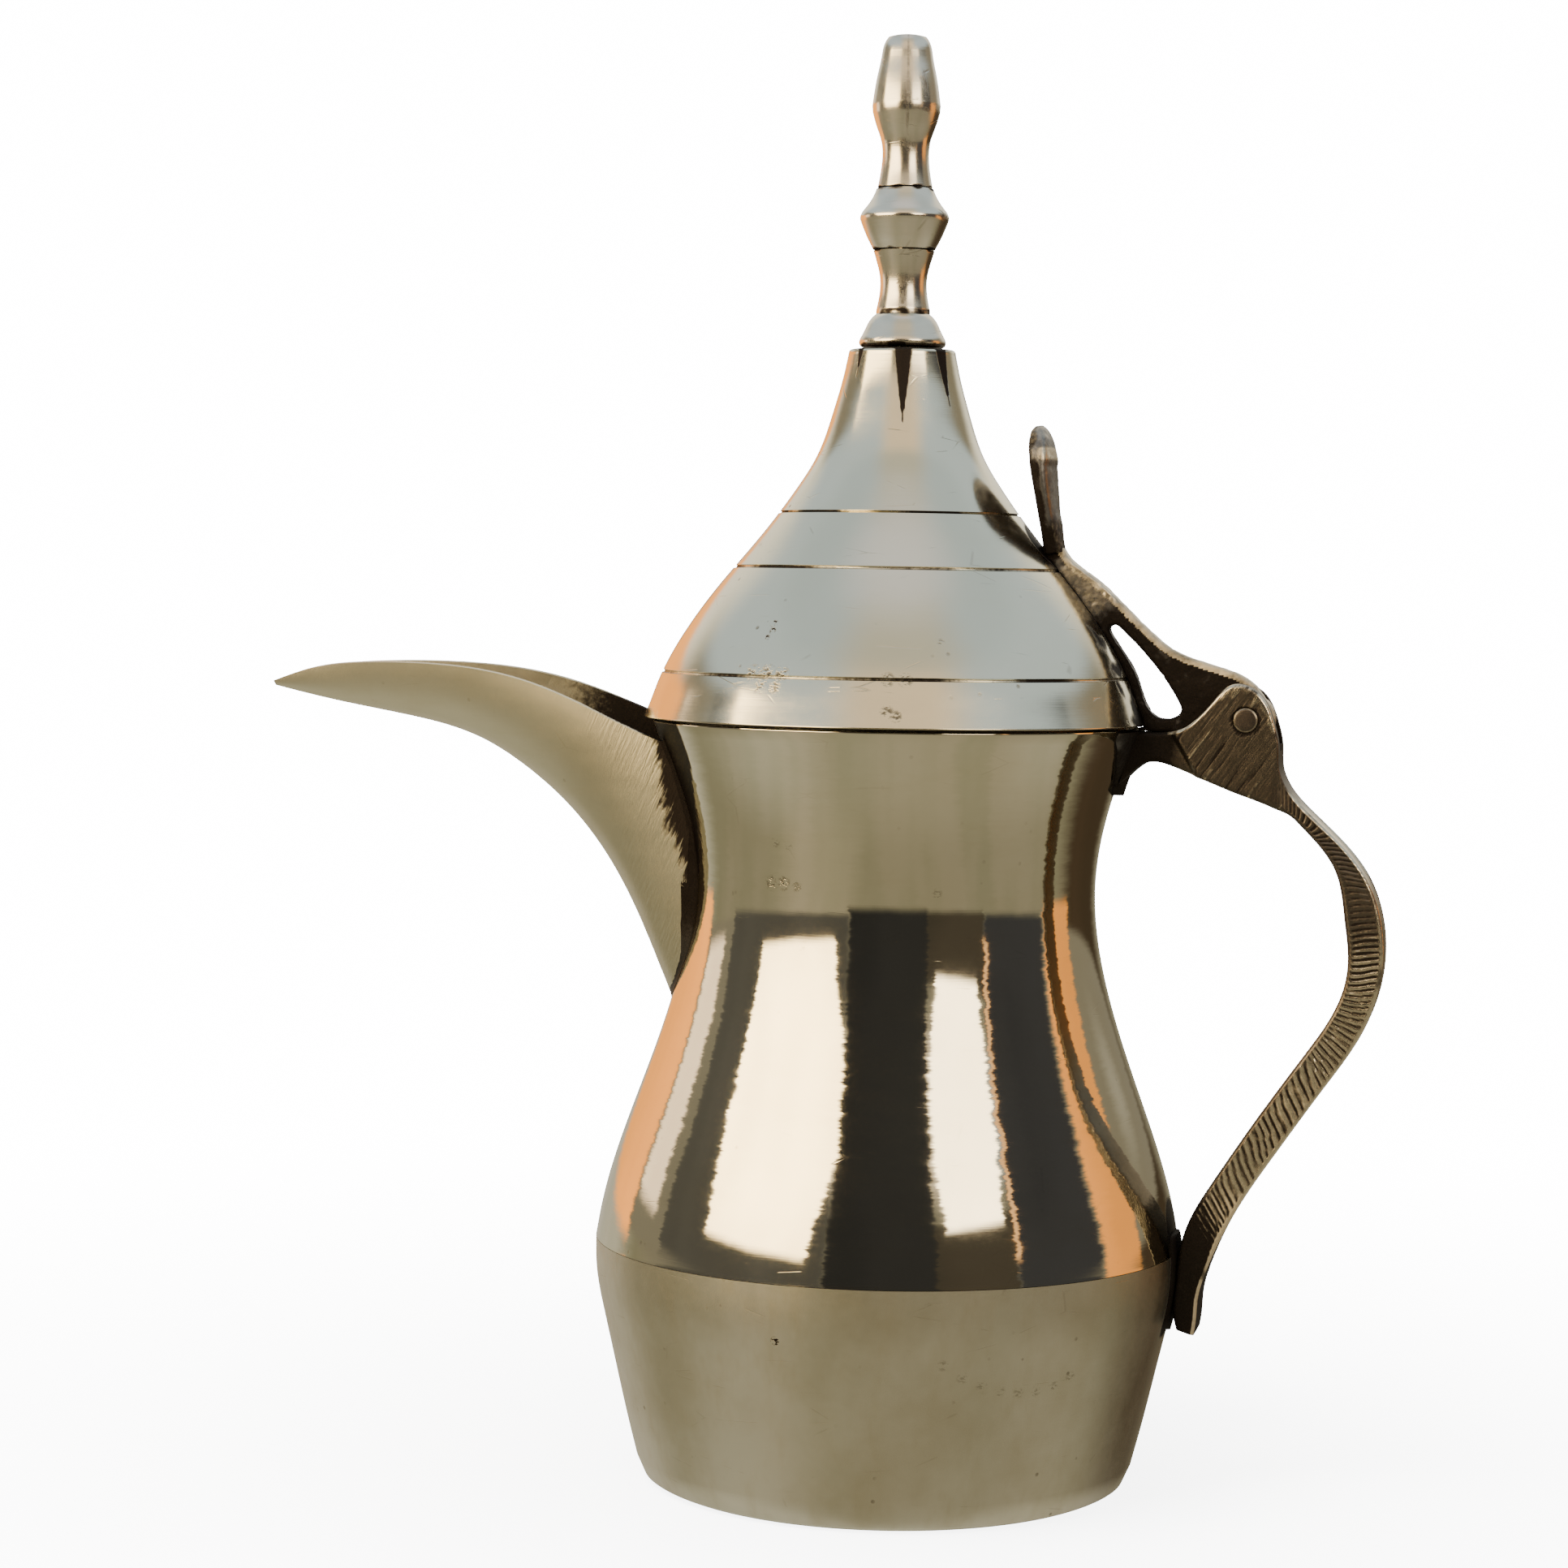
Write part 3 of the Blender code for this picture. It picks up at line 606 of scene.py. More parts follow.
def metal(name, colour, deep, roughness, haze=0.05, lines=0.5, chatter=0.0, pits=0.2,
          patina=0.3, grain=0.0, filing=None, smear=(60.0, 60.0, 260.0), marks=(),
          tarnish=(0.035, 0.028, 0.024), bright=(0.80, 0.70, 0.52)):
    """Worn metal. Deep is the tone of its patina, haze the spread of its roughness, lines the
    depth of turning lines, chatter the sideways wander of the polish, grain the depth of casting
    grain, and smear the scale of its smears. Filing is the lean, strength and pitch of the
    strokes where a mesh is marked as filed, bright the tone of rubbed edges and of painted
    highlights, tarnish the tone of tarnish and of painted shade, and marks are scuffs at
    (place, radius, strength)."""
    material = bpy.data.materials.new(name)
    s = Shader(material)
    point = s.node('TexCoord').outputs["Object"]
    clouds = s.noise(point, 38.0, 4.0, 0.6)
    smears = s.stretched(point, smear, 3.0, 0.65)
    turning = s.stretched(point, (45.0, 45.0, 2600.0), 2.0, 0.7)
    fine = s.noise(point, 900.0, 3.0, 0.6)

    tone = s.remap(clouds, 0.35, 0.75)
    shaded = s.mix(s.times(tone, patina), colour, deep)
    streaks = s.remap(smears, 0.45, 0.8)
    shaded = s.mix(s.times(streaks, patina * 0.6), shaded, deep)

    cells = s.node('TexVoronoi', {"Vector": point, "Scale": 260.0, "Randomness": 1.0})
    near = s.remap(cells.outputs["Distance"], 0.06, 0.14, 1.0, 0.0)
    patchy = s.remap(s.noise(point, 70.0, 3.0, 0.7), 0.52, 0.68)
    pitting = s.times(s.times(near, patchy), pits)

    scratch_cells = s.node('TexVoronoi', {
        "Vector": s.scaled(point, (34.0, 34.0, 150.0)), "Scale": 1.0, "Randomness": 1.0},
        feature='DISTANCE_TO_EDGE')
    hairline = s.remap(scratch_cells.outputs["Distance"], 0.002, 0.012, 1.0, 0.0)
    broken = s.remap(s.noise(point, 150.0, 2.0, 0.5), 0.55, 0.66)
    scratches = s.times(hairline, broken)

    # The tarnish amount carries real tarnish and, on several pieces, painted shade; both darken the
    # colour toward the tarnish tone.
    dirt_and_shade = s.attribute("tarnish")
    ragged = s.plus(dirt_and_shade, s.swing(fine, 0.35))
    cuts = 0.0
    if filing:
        lean, strength, pitch = filing
        leaned = s.node('VectorRotate', {
            "Vector": point, "Axis": (0.0, 1.0, 0.0), "Angle": lean},
            rotation_type='AXIS_ANGLE').outputs[0]
        stroke = s.stretched(leaned, (pitch, 500.0, 0.07 * pitch))
        filed = s.attribute("filed")
        cuts = s.swing(stroke, filed)
        ragged = s.plus(ragged, s.times(cuts, strength))
    stain_and_shade = s.remap(ragged, 0.30, 0.72)
    for place, radius, strength in marks:
        scuff = s.spot(point, place, radius)
        torn = s.remap(s.stretched(point, (1100.0, 1100.0, 2100.0)), 0.47, 0.6)
        scuff = s.times(s.times(scuff, torn), strength)
        stain_and_shade = s.math('MAXIMUM', stain_and_shade, scuff)
    stain_and_shade = s.math('MAXIMUM', stain_and_shade, s.times(scratches, 0.25 * pits))
    stain_and_shade = s.math('MAXIMUM', stain_and_shade, pitting)
    shaded = s.mix(stain_and_shade, shaded, tarnish)
    # The wear amount carries rubbed wear and painted highlights on edges and faces; both lighten
    # the colour toward the bright tone.
    rub_and_highlight = s.attribute("wear")
    rub_and_highlight = s.plus(rub_and_highlight, s.swing(fine, 0.45))
    if filing:
        rub_and_highlight = s.minus(rub_and_highlight, s.times(cuts, 0.75 * strength))
    rub_and_highlight = s.remap(rub_and_highlight, 0.30, 0.80)
    shaded = s.mix(rub_and_highlight, shaded, bright)

    spread = s.times(s.minus(smears, 0.45), 2.0 * haze)
    rough = s.plus(roughness, s.plus(spread, s.times(stain_and_shade, 0.35)))
    rough = s.plus(rough, s.swing(fine, haze))
    rough = s.minus(rough, s.times(rub_and_highlight, 0.12))
    rough = s.node('Clamp', {0: rough, 1: 0.03, 2: 0.95}).outputs[0]

    face = s.node('NewGeometry').outputs["Normal"]
    if chatter:
        sideways = s.vector('NORMALIZE', s.vector('CROSS_PRODUCT', (0.0, 0.0, 1.0), face))
        wander = s.stretched(point, (110.0, 110.0, 760.0), 3.0, 0.75)
        tilt = s.swing(wander, chatter)
        lean = s.node('VectorMath', {0: sideways, 3: tilt}, operation='SCALE').outputs[0]
        face = s.vector('NORMALIZE', s.vector('ADD', face, lean))
    height = s.times(turning, lines)
    height = s.plus(height, s.times(s.noise(point, 420.0, 4.0, 0.65), grain * 9))
    height = s.minus(height, s.times(stain_and_shade, 1.2))
    height = s.minus(height, s.times(scratches, 0.9 * pits * pits))
    height = s.minus(height, s.times(cuts, 6.0))
    bump = s.node('Bump', {"Strength": 0.6, "Distance": 0.00003, "Height": height,
                                     "Normal": face}).outputs[0]
    surface = s.node('BsdfPrincipled', {
        "Base Color": shaded, "Roughness": rough, "Normal": bump, "Metallic": 1.0})
    s.finish(surface)
    return material


PALE_BRASS = (0.86, 0.80, 0.62)
OLIVE_BRASS = (0.73, 0.69, 0.565)
BROWN_BRASS = (0.15, 0.128, 0.105)
DARK_CASTING = (0.046, 0.047, 0.055)
DARK_CASTING_LIGHT = (0.215, 0.208, 0.205)


def from_front(point):
    """Degrees round from the front to a point, toward the handle."""
    return math.degrees(math.atan2(point.y, point.x)) + FRONT


def scuffs(profile, rows):
    """Marks for metal() on a turned outside, from (degrees round, height, radius, strength)."""
    marks = []
    for turn, height, size, strength in rows:
        angle = math.radians(turn - FRONT)
        radius = radius_at(profile, height)
        place = (radius * math.cos(angle), radius * math.sin(angle), height)
        marks.append((place, size, strength))
    return marks


BOWL_MARKS = scuffs(POT_OUTSIDE, [
    (-21.0, 0.0365, 0.0010, 3.0), (11.0, 0.0330, 0.0014, 0.35), (15.0, 0.0305, 0.0014, 0.35),
    (19.0, 0.0288, 0.0014, 0.35), (23.0, 0.0276, 0.0014, 0.35), (27.0, 0.0270, 0.0014, 0.35),
    (31.0, 0.0270, 0.0014, 0.35), (35.0, 0.0276, 0.0014, 0.35), (39.0, 0.0290, 0.0014, 0.35)])
NECK_MARKS = scuffs(POT_OUTSIDE, [
    (-35.0, 0.1185, 0.0018, 0.7), (-31.0, 0.1186, 0.0018, 0.7), (-27.0, 0.1182, 0.0014, 0.5),
    (-33.0, 0.1262, 0.0012, 0.5), (-29.0, 0.1255, 0.0010, 0.4), (12.0, 0.1176, 0.0012, 0.3)])
LID_MARKS = scuffs(LID_OUTSIDE, [
    (-36.0, 0.1578, 0.0020, 0.9), (-32.0, 0.1576, 0.0024, 0.9), (-28.0, 0.1577, 0.0020, 0.9),
    (-33.0, 0.1552, 0.0016, 0.8), (-29.0, 0.1552, 0.0016, 0.8), (-35.0, 0.1668, 0.0010, 1.4),
    (-34.5, 0.1655, 0.0009, 1.4), (-35.5, 0.1642, 0.0008, 1.2), (-2.0, 0.1511, 0.0016, 0.8),
    (0.0, 0.1504, 0.0014, 0.8), (2.0, 0.1571, 0.0018, 0.8), (-2.0, 0.1571, 0.0018, 0.8),
    (11.0, 0.1640, 0.0009, 0.7)])


MATERIALS = {
    "upper": metal("polished_brass", PALE_BRASS, (0.72, 0.64, 0.44), 0.055, 0.03, lines=0.08,
                   chatter=0.07, pits=0.25, patina=0.25, marks=NECK_MARKS),
    "bowl": metal("satin_brass", OLIVE_BRASS, (0.54, 0.485, 0.345), 0.33, 0.09, lines=0.25,
                  pits=0.6, patina=0.7, smear=(150.0, 150.0, 50.0), marks=BOWL_MARKS),
    "lid": metal("lid_brass", PALE_BRASS, (0.78, 0.71, 0.52), 0.15, 0.05, lines=0.22,
                 chatter=0.03, pits=0.8, patina=0.3, marks=LID_MARKS),
    "finial": metal("finial_brass", (0.90, 0.84, 0.70), (0.70, 0.61, 0.46), 0.20, 0.07,
                    lines=0.35, chatter=0.03, pits=0.9, patina=0.5),
    "beak": metal("beak_brass", (0.66, 0.61, 0.445), (0.56, 0.50, 0.34), 0.33, 0.07, lines=0.0,
                  pits=0.3, patina=0.4, grain=0.05, filing=(math.radians(-24.0), 1.15, 2000.0)),
    "casting": metal("cast_brass", BROWN_BRASS, (0.09, 0.072, 0.055), 0.36, 0.10, lines=0.0,
                     pits=0.8, patina=0.8, grain=0.6, filing=(math.radians(-36.0), 3.4, 900.0)),
    "dark_casting": metal("tarnished_cast_brass", DARK_CASTING_LIGHT, DARK_CASTING, 0.42, 0.12,
                          lines=0.0, pits=1.0, patina=1.0, grain=1.0),
    "solder": metal("dark_solder", (0.10, 0.09, 0.08), (0.05, 0.045, 0.042), 0.48, 0.12,
                    lines=0.0, pits=0.6, patina=0.9, grain=0.8),
    "rivet": metal("rivet_brass", (0.12, 0.10, 0.085), (0.06, 0.05, 0.045), 0.42, 0.10,
                   lines=0.0, pits=0.5, patina=0.8, grain=0.5),
    "steel": metal("plain_steel", (0.50, 0.49, 0.47), (0.33, 0.31, 0.28), 0.38, 0.10, lines=0.4,
                   pits=0.6, patina=0.6, grain=0.2),
}
SLOTS = {  # for each material its slot, and the angle in degrees from which an edge is sharp
    "upper": ("polished_brass", 35.0), "bowl": ("satin_brass", 35.0), "beak": ("satin_brass", 40.0),
    "solder": ("solder", 60.0), "casting": ("cast_brass", 40.0), "rivet": ("rivet_brass", 35.0),
    "lid": ("polished_brass", 35.0), "finial": ("polished_brass", 40.0),
    "dark_casting": ("tarnished_cast_brass", 50.0),
}


# --- the pot ---------------------------------------------------------------------------------

def upper_shell():
    lip = 0.00045
    outside = UPPER_OUTSIDE
    inside = offset(spline(NECK_AND_BELLY, 4), -WALL)
    inside[0].y = outside[0].y
    inside[-1].y = SEAM_Z + 0.00005
    outer_lip = rounded(outside[0], inside[0], outside[1], lip)
    inner_lip = rounded(inside[0], inside[1], outside[0], lip)
    foot = Vector((outside[-1].x, SEAM_Z + 0.00005))
    outline = outer_lip + outside[2:-1] + [foot] + inside[:0:-1] + inner_lip
    shell = lathe("upper_shell", outline, 300)
    cutters = []
    for height, count in STRAINER_ROWS:
        for index in range(count):
            side = (index - (count - 1) / 2) * STRAINER_SPACING
            cutters.append(rod("strainer_hole", (-0.060, side, height), (-0.020, side, height),
                               STRAINER_HOLE_RADIUS, 24))
    shell = carved(shell, cutters)

    def grime_and_shade(point):
        if gap_to_pot(point) < -0.0008:
            return 0.55
        if point.x > 0:
            # Painted shade: a dark rim on the pot round the bracket's saddle, where the hollow
            # under the bracket is shaded. The pot is also darker behind the handle's foot.
            past = abs(point.y) - outline_width(SADDLE_OUTLINE, point.z)
            near_bracket = fade(past, 0.0016, 0.0003)
            foot_gap = (point - Vector((0.0555, 0.0, 0.0505))).length
            return max(near_bracket, fade(foot_gap, 0.0090, 0.0050))
        # Beside the beak the pot has a dark band: tarnished solder and painted shadow.
        turn = math.degrees(math.atan2(abs(point.y), -point.x))
        edge = float(np.interp(point.z, SCAR_HEIGHTS, SCAR_TURNS))
        return fade(turn, edge + 0.6, edge - 0.6) if point.z > SCAR_HEIGHTS[0] else 0.0
    piece("upper_shell", shell, "pot", "body_upper", "upper", tarnish=grime_and_shade)


def rod(name, start, end, radius, sides=32):
    """A plain round rod between two points, used to cut holes."""
    shape = bmesh.new()
    start, end = Vector(start), Vector(end)
    turn = (end - start).to_track_quat('Z', 'Y').to_matrix().to_4x4()
    bmesh.ops.create_cone(
        shape, cap_ends=True, segments=sides, radius1=radius, radius2=radius,
        depth=(end - start).length, matrix=Matrix.Translation((start + end) / 2) @ turn)
    mesh = bpy.data.meshes.new(name)
    shape.to_mesh(mesh)
    shape.free()
    return mesh


def bowl():
    outside = [Vector((point.x, point.y)) for point in BOWL_OUTSIDE]
    outside[0].y = SEAM_Z - 0.00005
    inside = offset(spline(BOWL[:-1], 4), -WALL)
    inside[0].y = outside[0].y
    floor = Vector((0.0, WALL))
    inside = [point for point in inside if point.y > floor.y + 0.0030]
    corner = Vector((inside[-1].x - 0.0004, floor.y + 0.0010))
    flat = Vector((inside[-1].x - 0.0016, floor.y))
    underside = [Vector((0.0440, 0.0)), Vector((0.0300, 0.0)), Vector((0.0, 0.0))]
    outline = [floor, flat, corner] + inside[::-1] + outside + underside
    shell = lathe("bowl", outline)

    def grime_and_shade(point):
        if gap_to_pot(point) < -0.0008 and point.z > 0.0008:
            return 0.55
        foot = fade(abs(point.y), 0.0085, 0.0050) * fade(point.z, 0.0290, 0.0330)
        return foot if point.x > 0 else 0.0
    piece("bowl", shell, "pot", "body_lower", "bowl", tarnish=grime_and_shade)


def beak_rings():
    """The beak's sections: outside from rim to rim, then back along the channel."""
    rims = spline([section[0] for section in SPOUT_SECTIONS], SPOUT_SPAN_STEPS)
    keels = spline([section[1] for section in SPOUT_SECTIONS], SPOUT_SPAN_STEPS)
    widths = spline([(section[2], 0.0) for section in SPOUT_SECTIONS], SPOUT_SPAN_STEPS)
    rings = []
    for rim, keel, half_width in zip(rims, keels, widths):
        half_width = half_width.x
        down = keel - rim
        depth = down.length
        down.normalize()
        wall = min(SPOUT_WALL, 0.38 * half_width)
        floor = min(SPOUT_KEEL, 0.45 * depth)
        rounds = ((half_width, depth), (half_width - wall, depth - floor))
        ring = []
        for direction, (width, drop) in zip((1, -1), rounds):
            for index in range(ROUND_STEPS + 1):
                turn = math.pi * index / ROUND_STEPS
                side = -direction * math.cos(turn)
                across = math.copysign(abs(side) ** 0.8, side) * width
                sag = drop * math.sin(turn)
                lift = 0.0 if 0 < index < ROUND_STEPS else -0.0002 * min(1.0, wall / SPOUT_WALL)
                low = rim + down * (sag - lift)
                ring.append(Vector((low.x, across, low.y)))
        middle = []
        for near, far in ((ROUND_STEPS, ROUND_STEPS + 1), (2 * ROUND_STEPS + 1, 0)):
            top = (ring[near] + ring[far]) / 2
            top += Vector((-down.x, 0.0, -down.y)) * 0.00025 * min(1.0, wall / SPOUT_WALL)
            middle.append(top)
        ring = ring[:ROUND_STEPS + 1] + [middle[0]] + ring[ROUND_STEPS + 1:] + [middle[1]]
        rings.append(ring)
    return rings


def gap_to_pot(point):
    """How far a point stands out from the pot's outside, level with it."""
    return math.hypot(point.x, point.y) - radius_at(POT_OUTSIDE, point.z)


def pot_core(name, gap, steps):
    """A solid that stands out from the pot's outside by a gap, to cut with."""
    envelope = offset(POT_OUTSIDE, gap)
    top = envelope[0].y + 0.002
    core = [Vector((0.0, top)), Vector((envelope[0].x, top)), *envelope]
    return lathe(name, core + [Vector((0.0, envelope[-1].y))], steps)


def beak():
    rings = beak_rings()
    body = carved(loft("beak", rings), [pot_core("beak_cutter", 0.0003, 160)])
    around = [0.0] * (ROUND_STEPS + 1) + [0.5] + [1.0] * (ROUND_STEPS + 1) + [0.5]
    points = [point for ring in rings for point in ring]
    depth_inside = remembered(points, around * len(rings), 0.0040)

    def grime_and_shade(point):
        root = gap_to_pot(point)
        inside = depth_inside(point)
        reach = float(np.interp(point.z, ROOT_HEIGHTS, ROOT_REACHES))
        # Near the root the beak darkens: tarnished solder and painted shadow. Inside, it darkens
        # down the channel towards the pot.
        near_root = 1.25 * (1.0 - root / reach) * fade(point.z, 0.1010, 0.1120)
        channel = 0.0
        if inside > 0.3:
            channel = 0.9 * fade(root, 0.0450 * inside, 0.0050)
        return max(near_root, channel)

    def rubbed_and_highlit(point):
        # A light line along the rim: wear and a painted highlight.
        rim = 1.0 - 2.0 * abs(depth_inside(point) - 0.5)
        return 0.85 * rim * fade(gap_to_pot(point), 0.0060, 0.0180)

    def filed(point):
        return fade(gap_to_pot(point), 0.0160, 0.0080)
    piece("beak", body, "pot", "spout", "beak", tarnish=grime_and_shade, filed=filed, wear=rubbed_and_highlit)


def beak_fillet():
    """The soldered fillet between the beak's root and the pot."""
    rings = beak_rings()
    count = ROUND_STEPS + 1
    rows = []
    for index in range(count):
        track = [ring[index] for ring in rings]
        gaps = [gap_to_pot(point) for point in track]
        cross = next(i for i in range(len(track) - 1, 0, -1) if gaps[i - 1] > 0.0004)
        share = (gaps[cross - 1] - 0.0003) / max(1e-9, gaps[cross - 1] - gaps[cross])
        join = track[cross - 1].lerp(track[cross], min(1.0, share))
        around = index / (count - 1)
        level = min(1.0, 1.25 * abs(2.0 * around - 1.0))
        bulge = math.sin(math.pi * level) ** 0.8 * fade(join.z, 0.0980, 0.1180)
        climb = (0.0008 + 0.0018 * bulge) * (1.0 + 0.5 * noise.noise((around * 60.0, 3.0, 0.0)))
        reach = (0.0006 + 0.0034 * bulge) * (1.0 + 0.1 * noise.noise((around * 14.0, 8.0, 0.0)))
        walked, place, top = 0.0, cross - 1, join
        while place > 0 and walked < climb:
            walked += (track[place] - top).length
            top = track[place]
            place -= 1
        top = join.lerp(top, min(1.0, climb / max(walked, 1e-9)))
        middle = 0.5 * (rings[cross][0].z + rings[cross][count // 2].z)
        away = Vector((0.0, join.y, join.z - middle)).normalized()
        edge = join + away * reach
        radius = radius_at(POT_OUTSIDE, edge.z) + 0.0001
        turn = math.atan2(edge.y, edge.x)
        edge = Vector((radius * math.cos(turn), radius * math.sin(turn), edge.z))
        row = []
        for step in range(9):
            t = step / 8
            row.append(top.lerp(join, t).lerp(join.lerp(edge, t), t))
        tuck = Vector((0.0, 0.0, 0.0))
        if abs(top.y) > 0.0002:
            tuck.y = -math.copysign(0.0002, top.y)
        row.append(edge.lerp(Vector((0.0, 0.0, edge.z)), 0.006))
        row.append(join.lerp(Vector((0.0, 0.0, join.z)), 0.006))
        row.append(top + tuck)
        rows.append(row)
    mesh = loft("beak_fillet", rows)
    # The fillet darkens higher up: tarnished solder and painted shadow.
    piece("beak_fillet", mesh, "pot", "spout_solder", "solder",
          tarnish=lambda point: 0.15 + 0.60 * fade(point.z, 0.1000, 0.1120))


def half_width_of_handle(spot, middle, strap):
    """Half the handle's width at a spot: a narrow stem, then the cheeks, then the strap."""
    wide = CHEEK_HALF_WIDTH + (STRAP_HALF_WIDTH - CHEEK_HALF_WIDTH) * strap
    past_stem = 1.0
    if middle.y >= 0.125:
        past_stem = fade(spot.x + 0.6 * (spot.y - 0.147), 0.0538, 0.0550)
    return STEM_HALF_WIDTH + (wide - STEM_HALF_WIDTH) * past_stem


def handle_rings():
    """Rounded rectangular sections along the handle, with filed ribs on the strap's flat sides,
    and for each point how deep it lies in a rib and how much it is lightened by wear and by painted
    highlights."""
    outer = spline([pair[0] for pair in HANDLE_SECTIONS], HANDLE_SPAN_STEPS)
    inner = spline([pair[1] for pair in HANDLE_SECTIONS], HANDLE_SPAN_STEPS)
    travelled, last = 0.0, (outer[0] + inner[0]) / 2
    rings, grooves, rubs_and_highlights = [], [], []
    side_steps, arc_steps, face_steps = 18, 3, 6
    arc = [math.pi / 2 * step / (arc_steps + 1) for step in range(1, arc_steps + 1)]
    face = [2 * step / face_steps - 1 for step in range(face_steps + 1)]
    for out, inn in zip(outer, inner):
        middle = (out + inn) / 2
        travelled += (middle - last).length
        last = middle
        depth = (out - inn).length
        across = (out - inn).normalized()
        strap = fade(middle.y, 0.1400, 0.1290) if middle.x > 0.060 else 0.0
        strap *= 1.0 - fade(middle.y, 0.0600, 0.0450)
        crown = 0.0005 * strap
        edge = min(0.0009, depth * 0.3)
        # The strap's outer corner and the cheeks' top edges are lightened: wear and a painted
        # highlight.
        ridge = strap + fade(middle.x, 0.0500, 0.0540) * fade(middle.x, 0.0745, 0.0715)
        ridge *= 0.75 + 0.5 * noise.noise((travelled * 190.0, 7.0, 0.0))
        ring = []
        for sign in (-1, 1):
            strength = 1.0 + 0.5 * noise.noise((travelled * 60, 4.0, sign))
            for step in range(side_steps + 1):
                t = step / side_steps
                place = edge + (depth - 2 * edge) * (t if sign < 0 else 1 - t)
                level = place / depth
                ribbed = strap * fade(level, 0.06, 0.22) * fade(level, 0.97, 0.82)
                wander = 0.9 * noise.noise((travelled * 160, level * 1.5, sign * 5.0))
                turns = (travelled + 0.0008 * level) / RIB_PITCH
                rib = 0.5 + 0.5 * math.sin(2 * math.pi * turns + 3.0 * wander)
                groove = ribbed * rib * strength
                spot = inn + across * place
                half = half_width_of_handle(spot, middle, strap)
                ring.append(Vector((spot.x, sign * (half - RIB_DEPTH * groove), spot.y)))
                grooves.append(0.75 * groove)
                worn = 0.95 * strap * (1.0 - 0.85 * rib) * fade(travelled, 0.060, 0.085)
                rubs_and_highlights.append(worn + ridge * fade(level + 0.04 * wander, 0.86, 0.94))
            far, near = (depth - edge, edge) if sign < 0 else (edge, -edge)
            half = half_width_of_handle(inn + across * far, middle, strap)
            round_off = []
            for turn in arc:
                round_off.append((sign * (half - edge + edge * math.cos(turn)),
                                  far + near * math.sin(turn)))
            for side in face:
                rise = crown * (1.0 - side ** 2)
                round_off.append((-sign * (half - edge) * side,
                                  depth - crown + rise if sign < 0 else 0.0))
            for turn in arc:
                round_off.append((-sign * (half - edge + edge * math.sin(turn)),
                                  far + near * math.cos(turn)))
            for side, place in round_off:
                spot = inn + across * place
                ring.append(Vector((spot.x, side, spot.y)))
            # The strap's outer face is lightened as well: wear and painted highlight.
            corner = [ridge * (1.0 if sign < 0 else 0.15)] * arc_steps
            grooves += [0.0] * len(round_off)
            rubs_and_highlights += corner + [0.70 * strap * (sign < 0)] * len(face) + corner
        rings.append(ring)
    return rings, grooves, rubs_and_highlights


def handle():
    cuts = [flat_plate("fork_cutter", [FORK_SLOT], SLOT_HALF_WIDTH),
            chamfered_rod("pin_cutter", PIN_HOLE_RADIUS, 0.0003),
            pot_core("pot_cutter", 0.0010, 200)]
    rings, grooves, rubs_and_highlights = handle_rings()
    mesh = loft("handle", rings)
    places = [vertex.co.copy() for vertex in mesh.vertices]
    groove_at = remembered(places, grooves)
    rub_and_highlight_at = remembered(places, rubs_and_highlights)
    mesh = carved(mesh, cuts)

    def grime_and_shade(point):
        # The stem is darker as painted shade under the lid's rim; the fork's slot, a ring round the
        # pin and the foot are darker too.
        stem = 0.75 * fade(point.x, 0.0600, 0.0520) if point.z > 0.13 else 0.0
        foot = 0.75 * fade(point.z, 0.0640, 0.0560)
        slot = 1.0 if abs(point.y) < SLOT_HALF_WIDTH + 0.0002 and point.z > 0.1440 else 0.0
        collar = math.hypot(point.x - PIN.x, point.z - PIN.z)
        ring = 0.6 * fade(abs(collar - 0.0027), 0.0005, 0.0001)
        worn = 0.20 * (0.5 + noise.noise(point * 90.0))
        return max(stem, foot, slot, ring, groove_at(point)) + worn

    def filed(point):
        cheek = fade(point.z, 0.1290, 0.1330) * fade(point.x, 0.0530, 0.0560)
        return cheek if abs(point.y) > CHEEK_HALF_WIDTH - 0.0003 else 0.0
    piece("strap_handle", mesh, "pot", "handle", "casting", tarnish=grime_and_shade, filed=filed,
          wear=rub_and_highlight_at)


def chamfered_rod(name, radius, chamfer):
    """A rod along the hinge axis that flares where it leaves the cheeks."""
    half = CHEEK_HALF_WIDTH
    profile = [(0.0, 0.012), (radius + chamfer * 4, 0.012), (radius + chamfer * 1.4, half + 0.0002),
               (radius, half - chamfer), (radius, -(half - chamfer)),
               (radius + chamfer * 1.4, -(half + 0.0002)), (radius + chamfer * 4, -0.012),
               (0.0, -0.012)]
    mesh = lathe(name, profile, 48)
    mesh.transform(Matrix.Translation(PIN) @ Matrix.Rotation(math.radians(90.0), 4, 'X'))
    return mesh


def hinge_rivet():
    half = CHEEK_HALF_WIDTH + 0.0001
    head = 0.00234
    profile = [(0.0, half), (0.0012, half - 0.00001), (0.0018, half - 0.00003),
               (0.0021, half - 0.00010), (head, half - 0.00032), (head, 0.0032),
               (PIN_RADIUS, 0.0031), (PIN_RADIUS, 0.0)]
    profile += [(radius, -height) for radius, height in profile[-2::-1]]
    mesh = lathe("hinge_rivet", profile, 64)
    mesh.transform(Matrix.Translation(PIN) @ Matrix.Rotation(math.radians(90.0), 4, 'X'))
    piece("hinge_rivet", mesh, "pot", "hinge_pin", "rivet", tarnish=lambda point: 0.30,
          wear=lambda point: 0.55 * fade((point - PIN).xz.length, 0.0016, 0.0022))


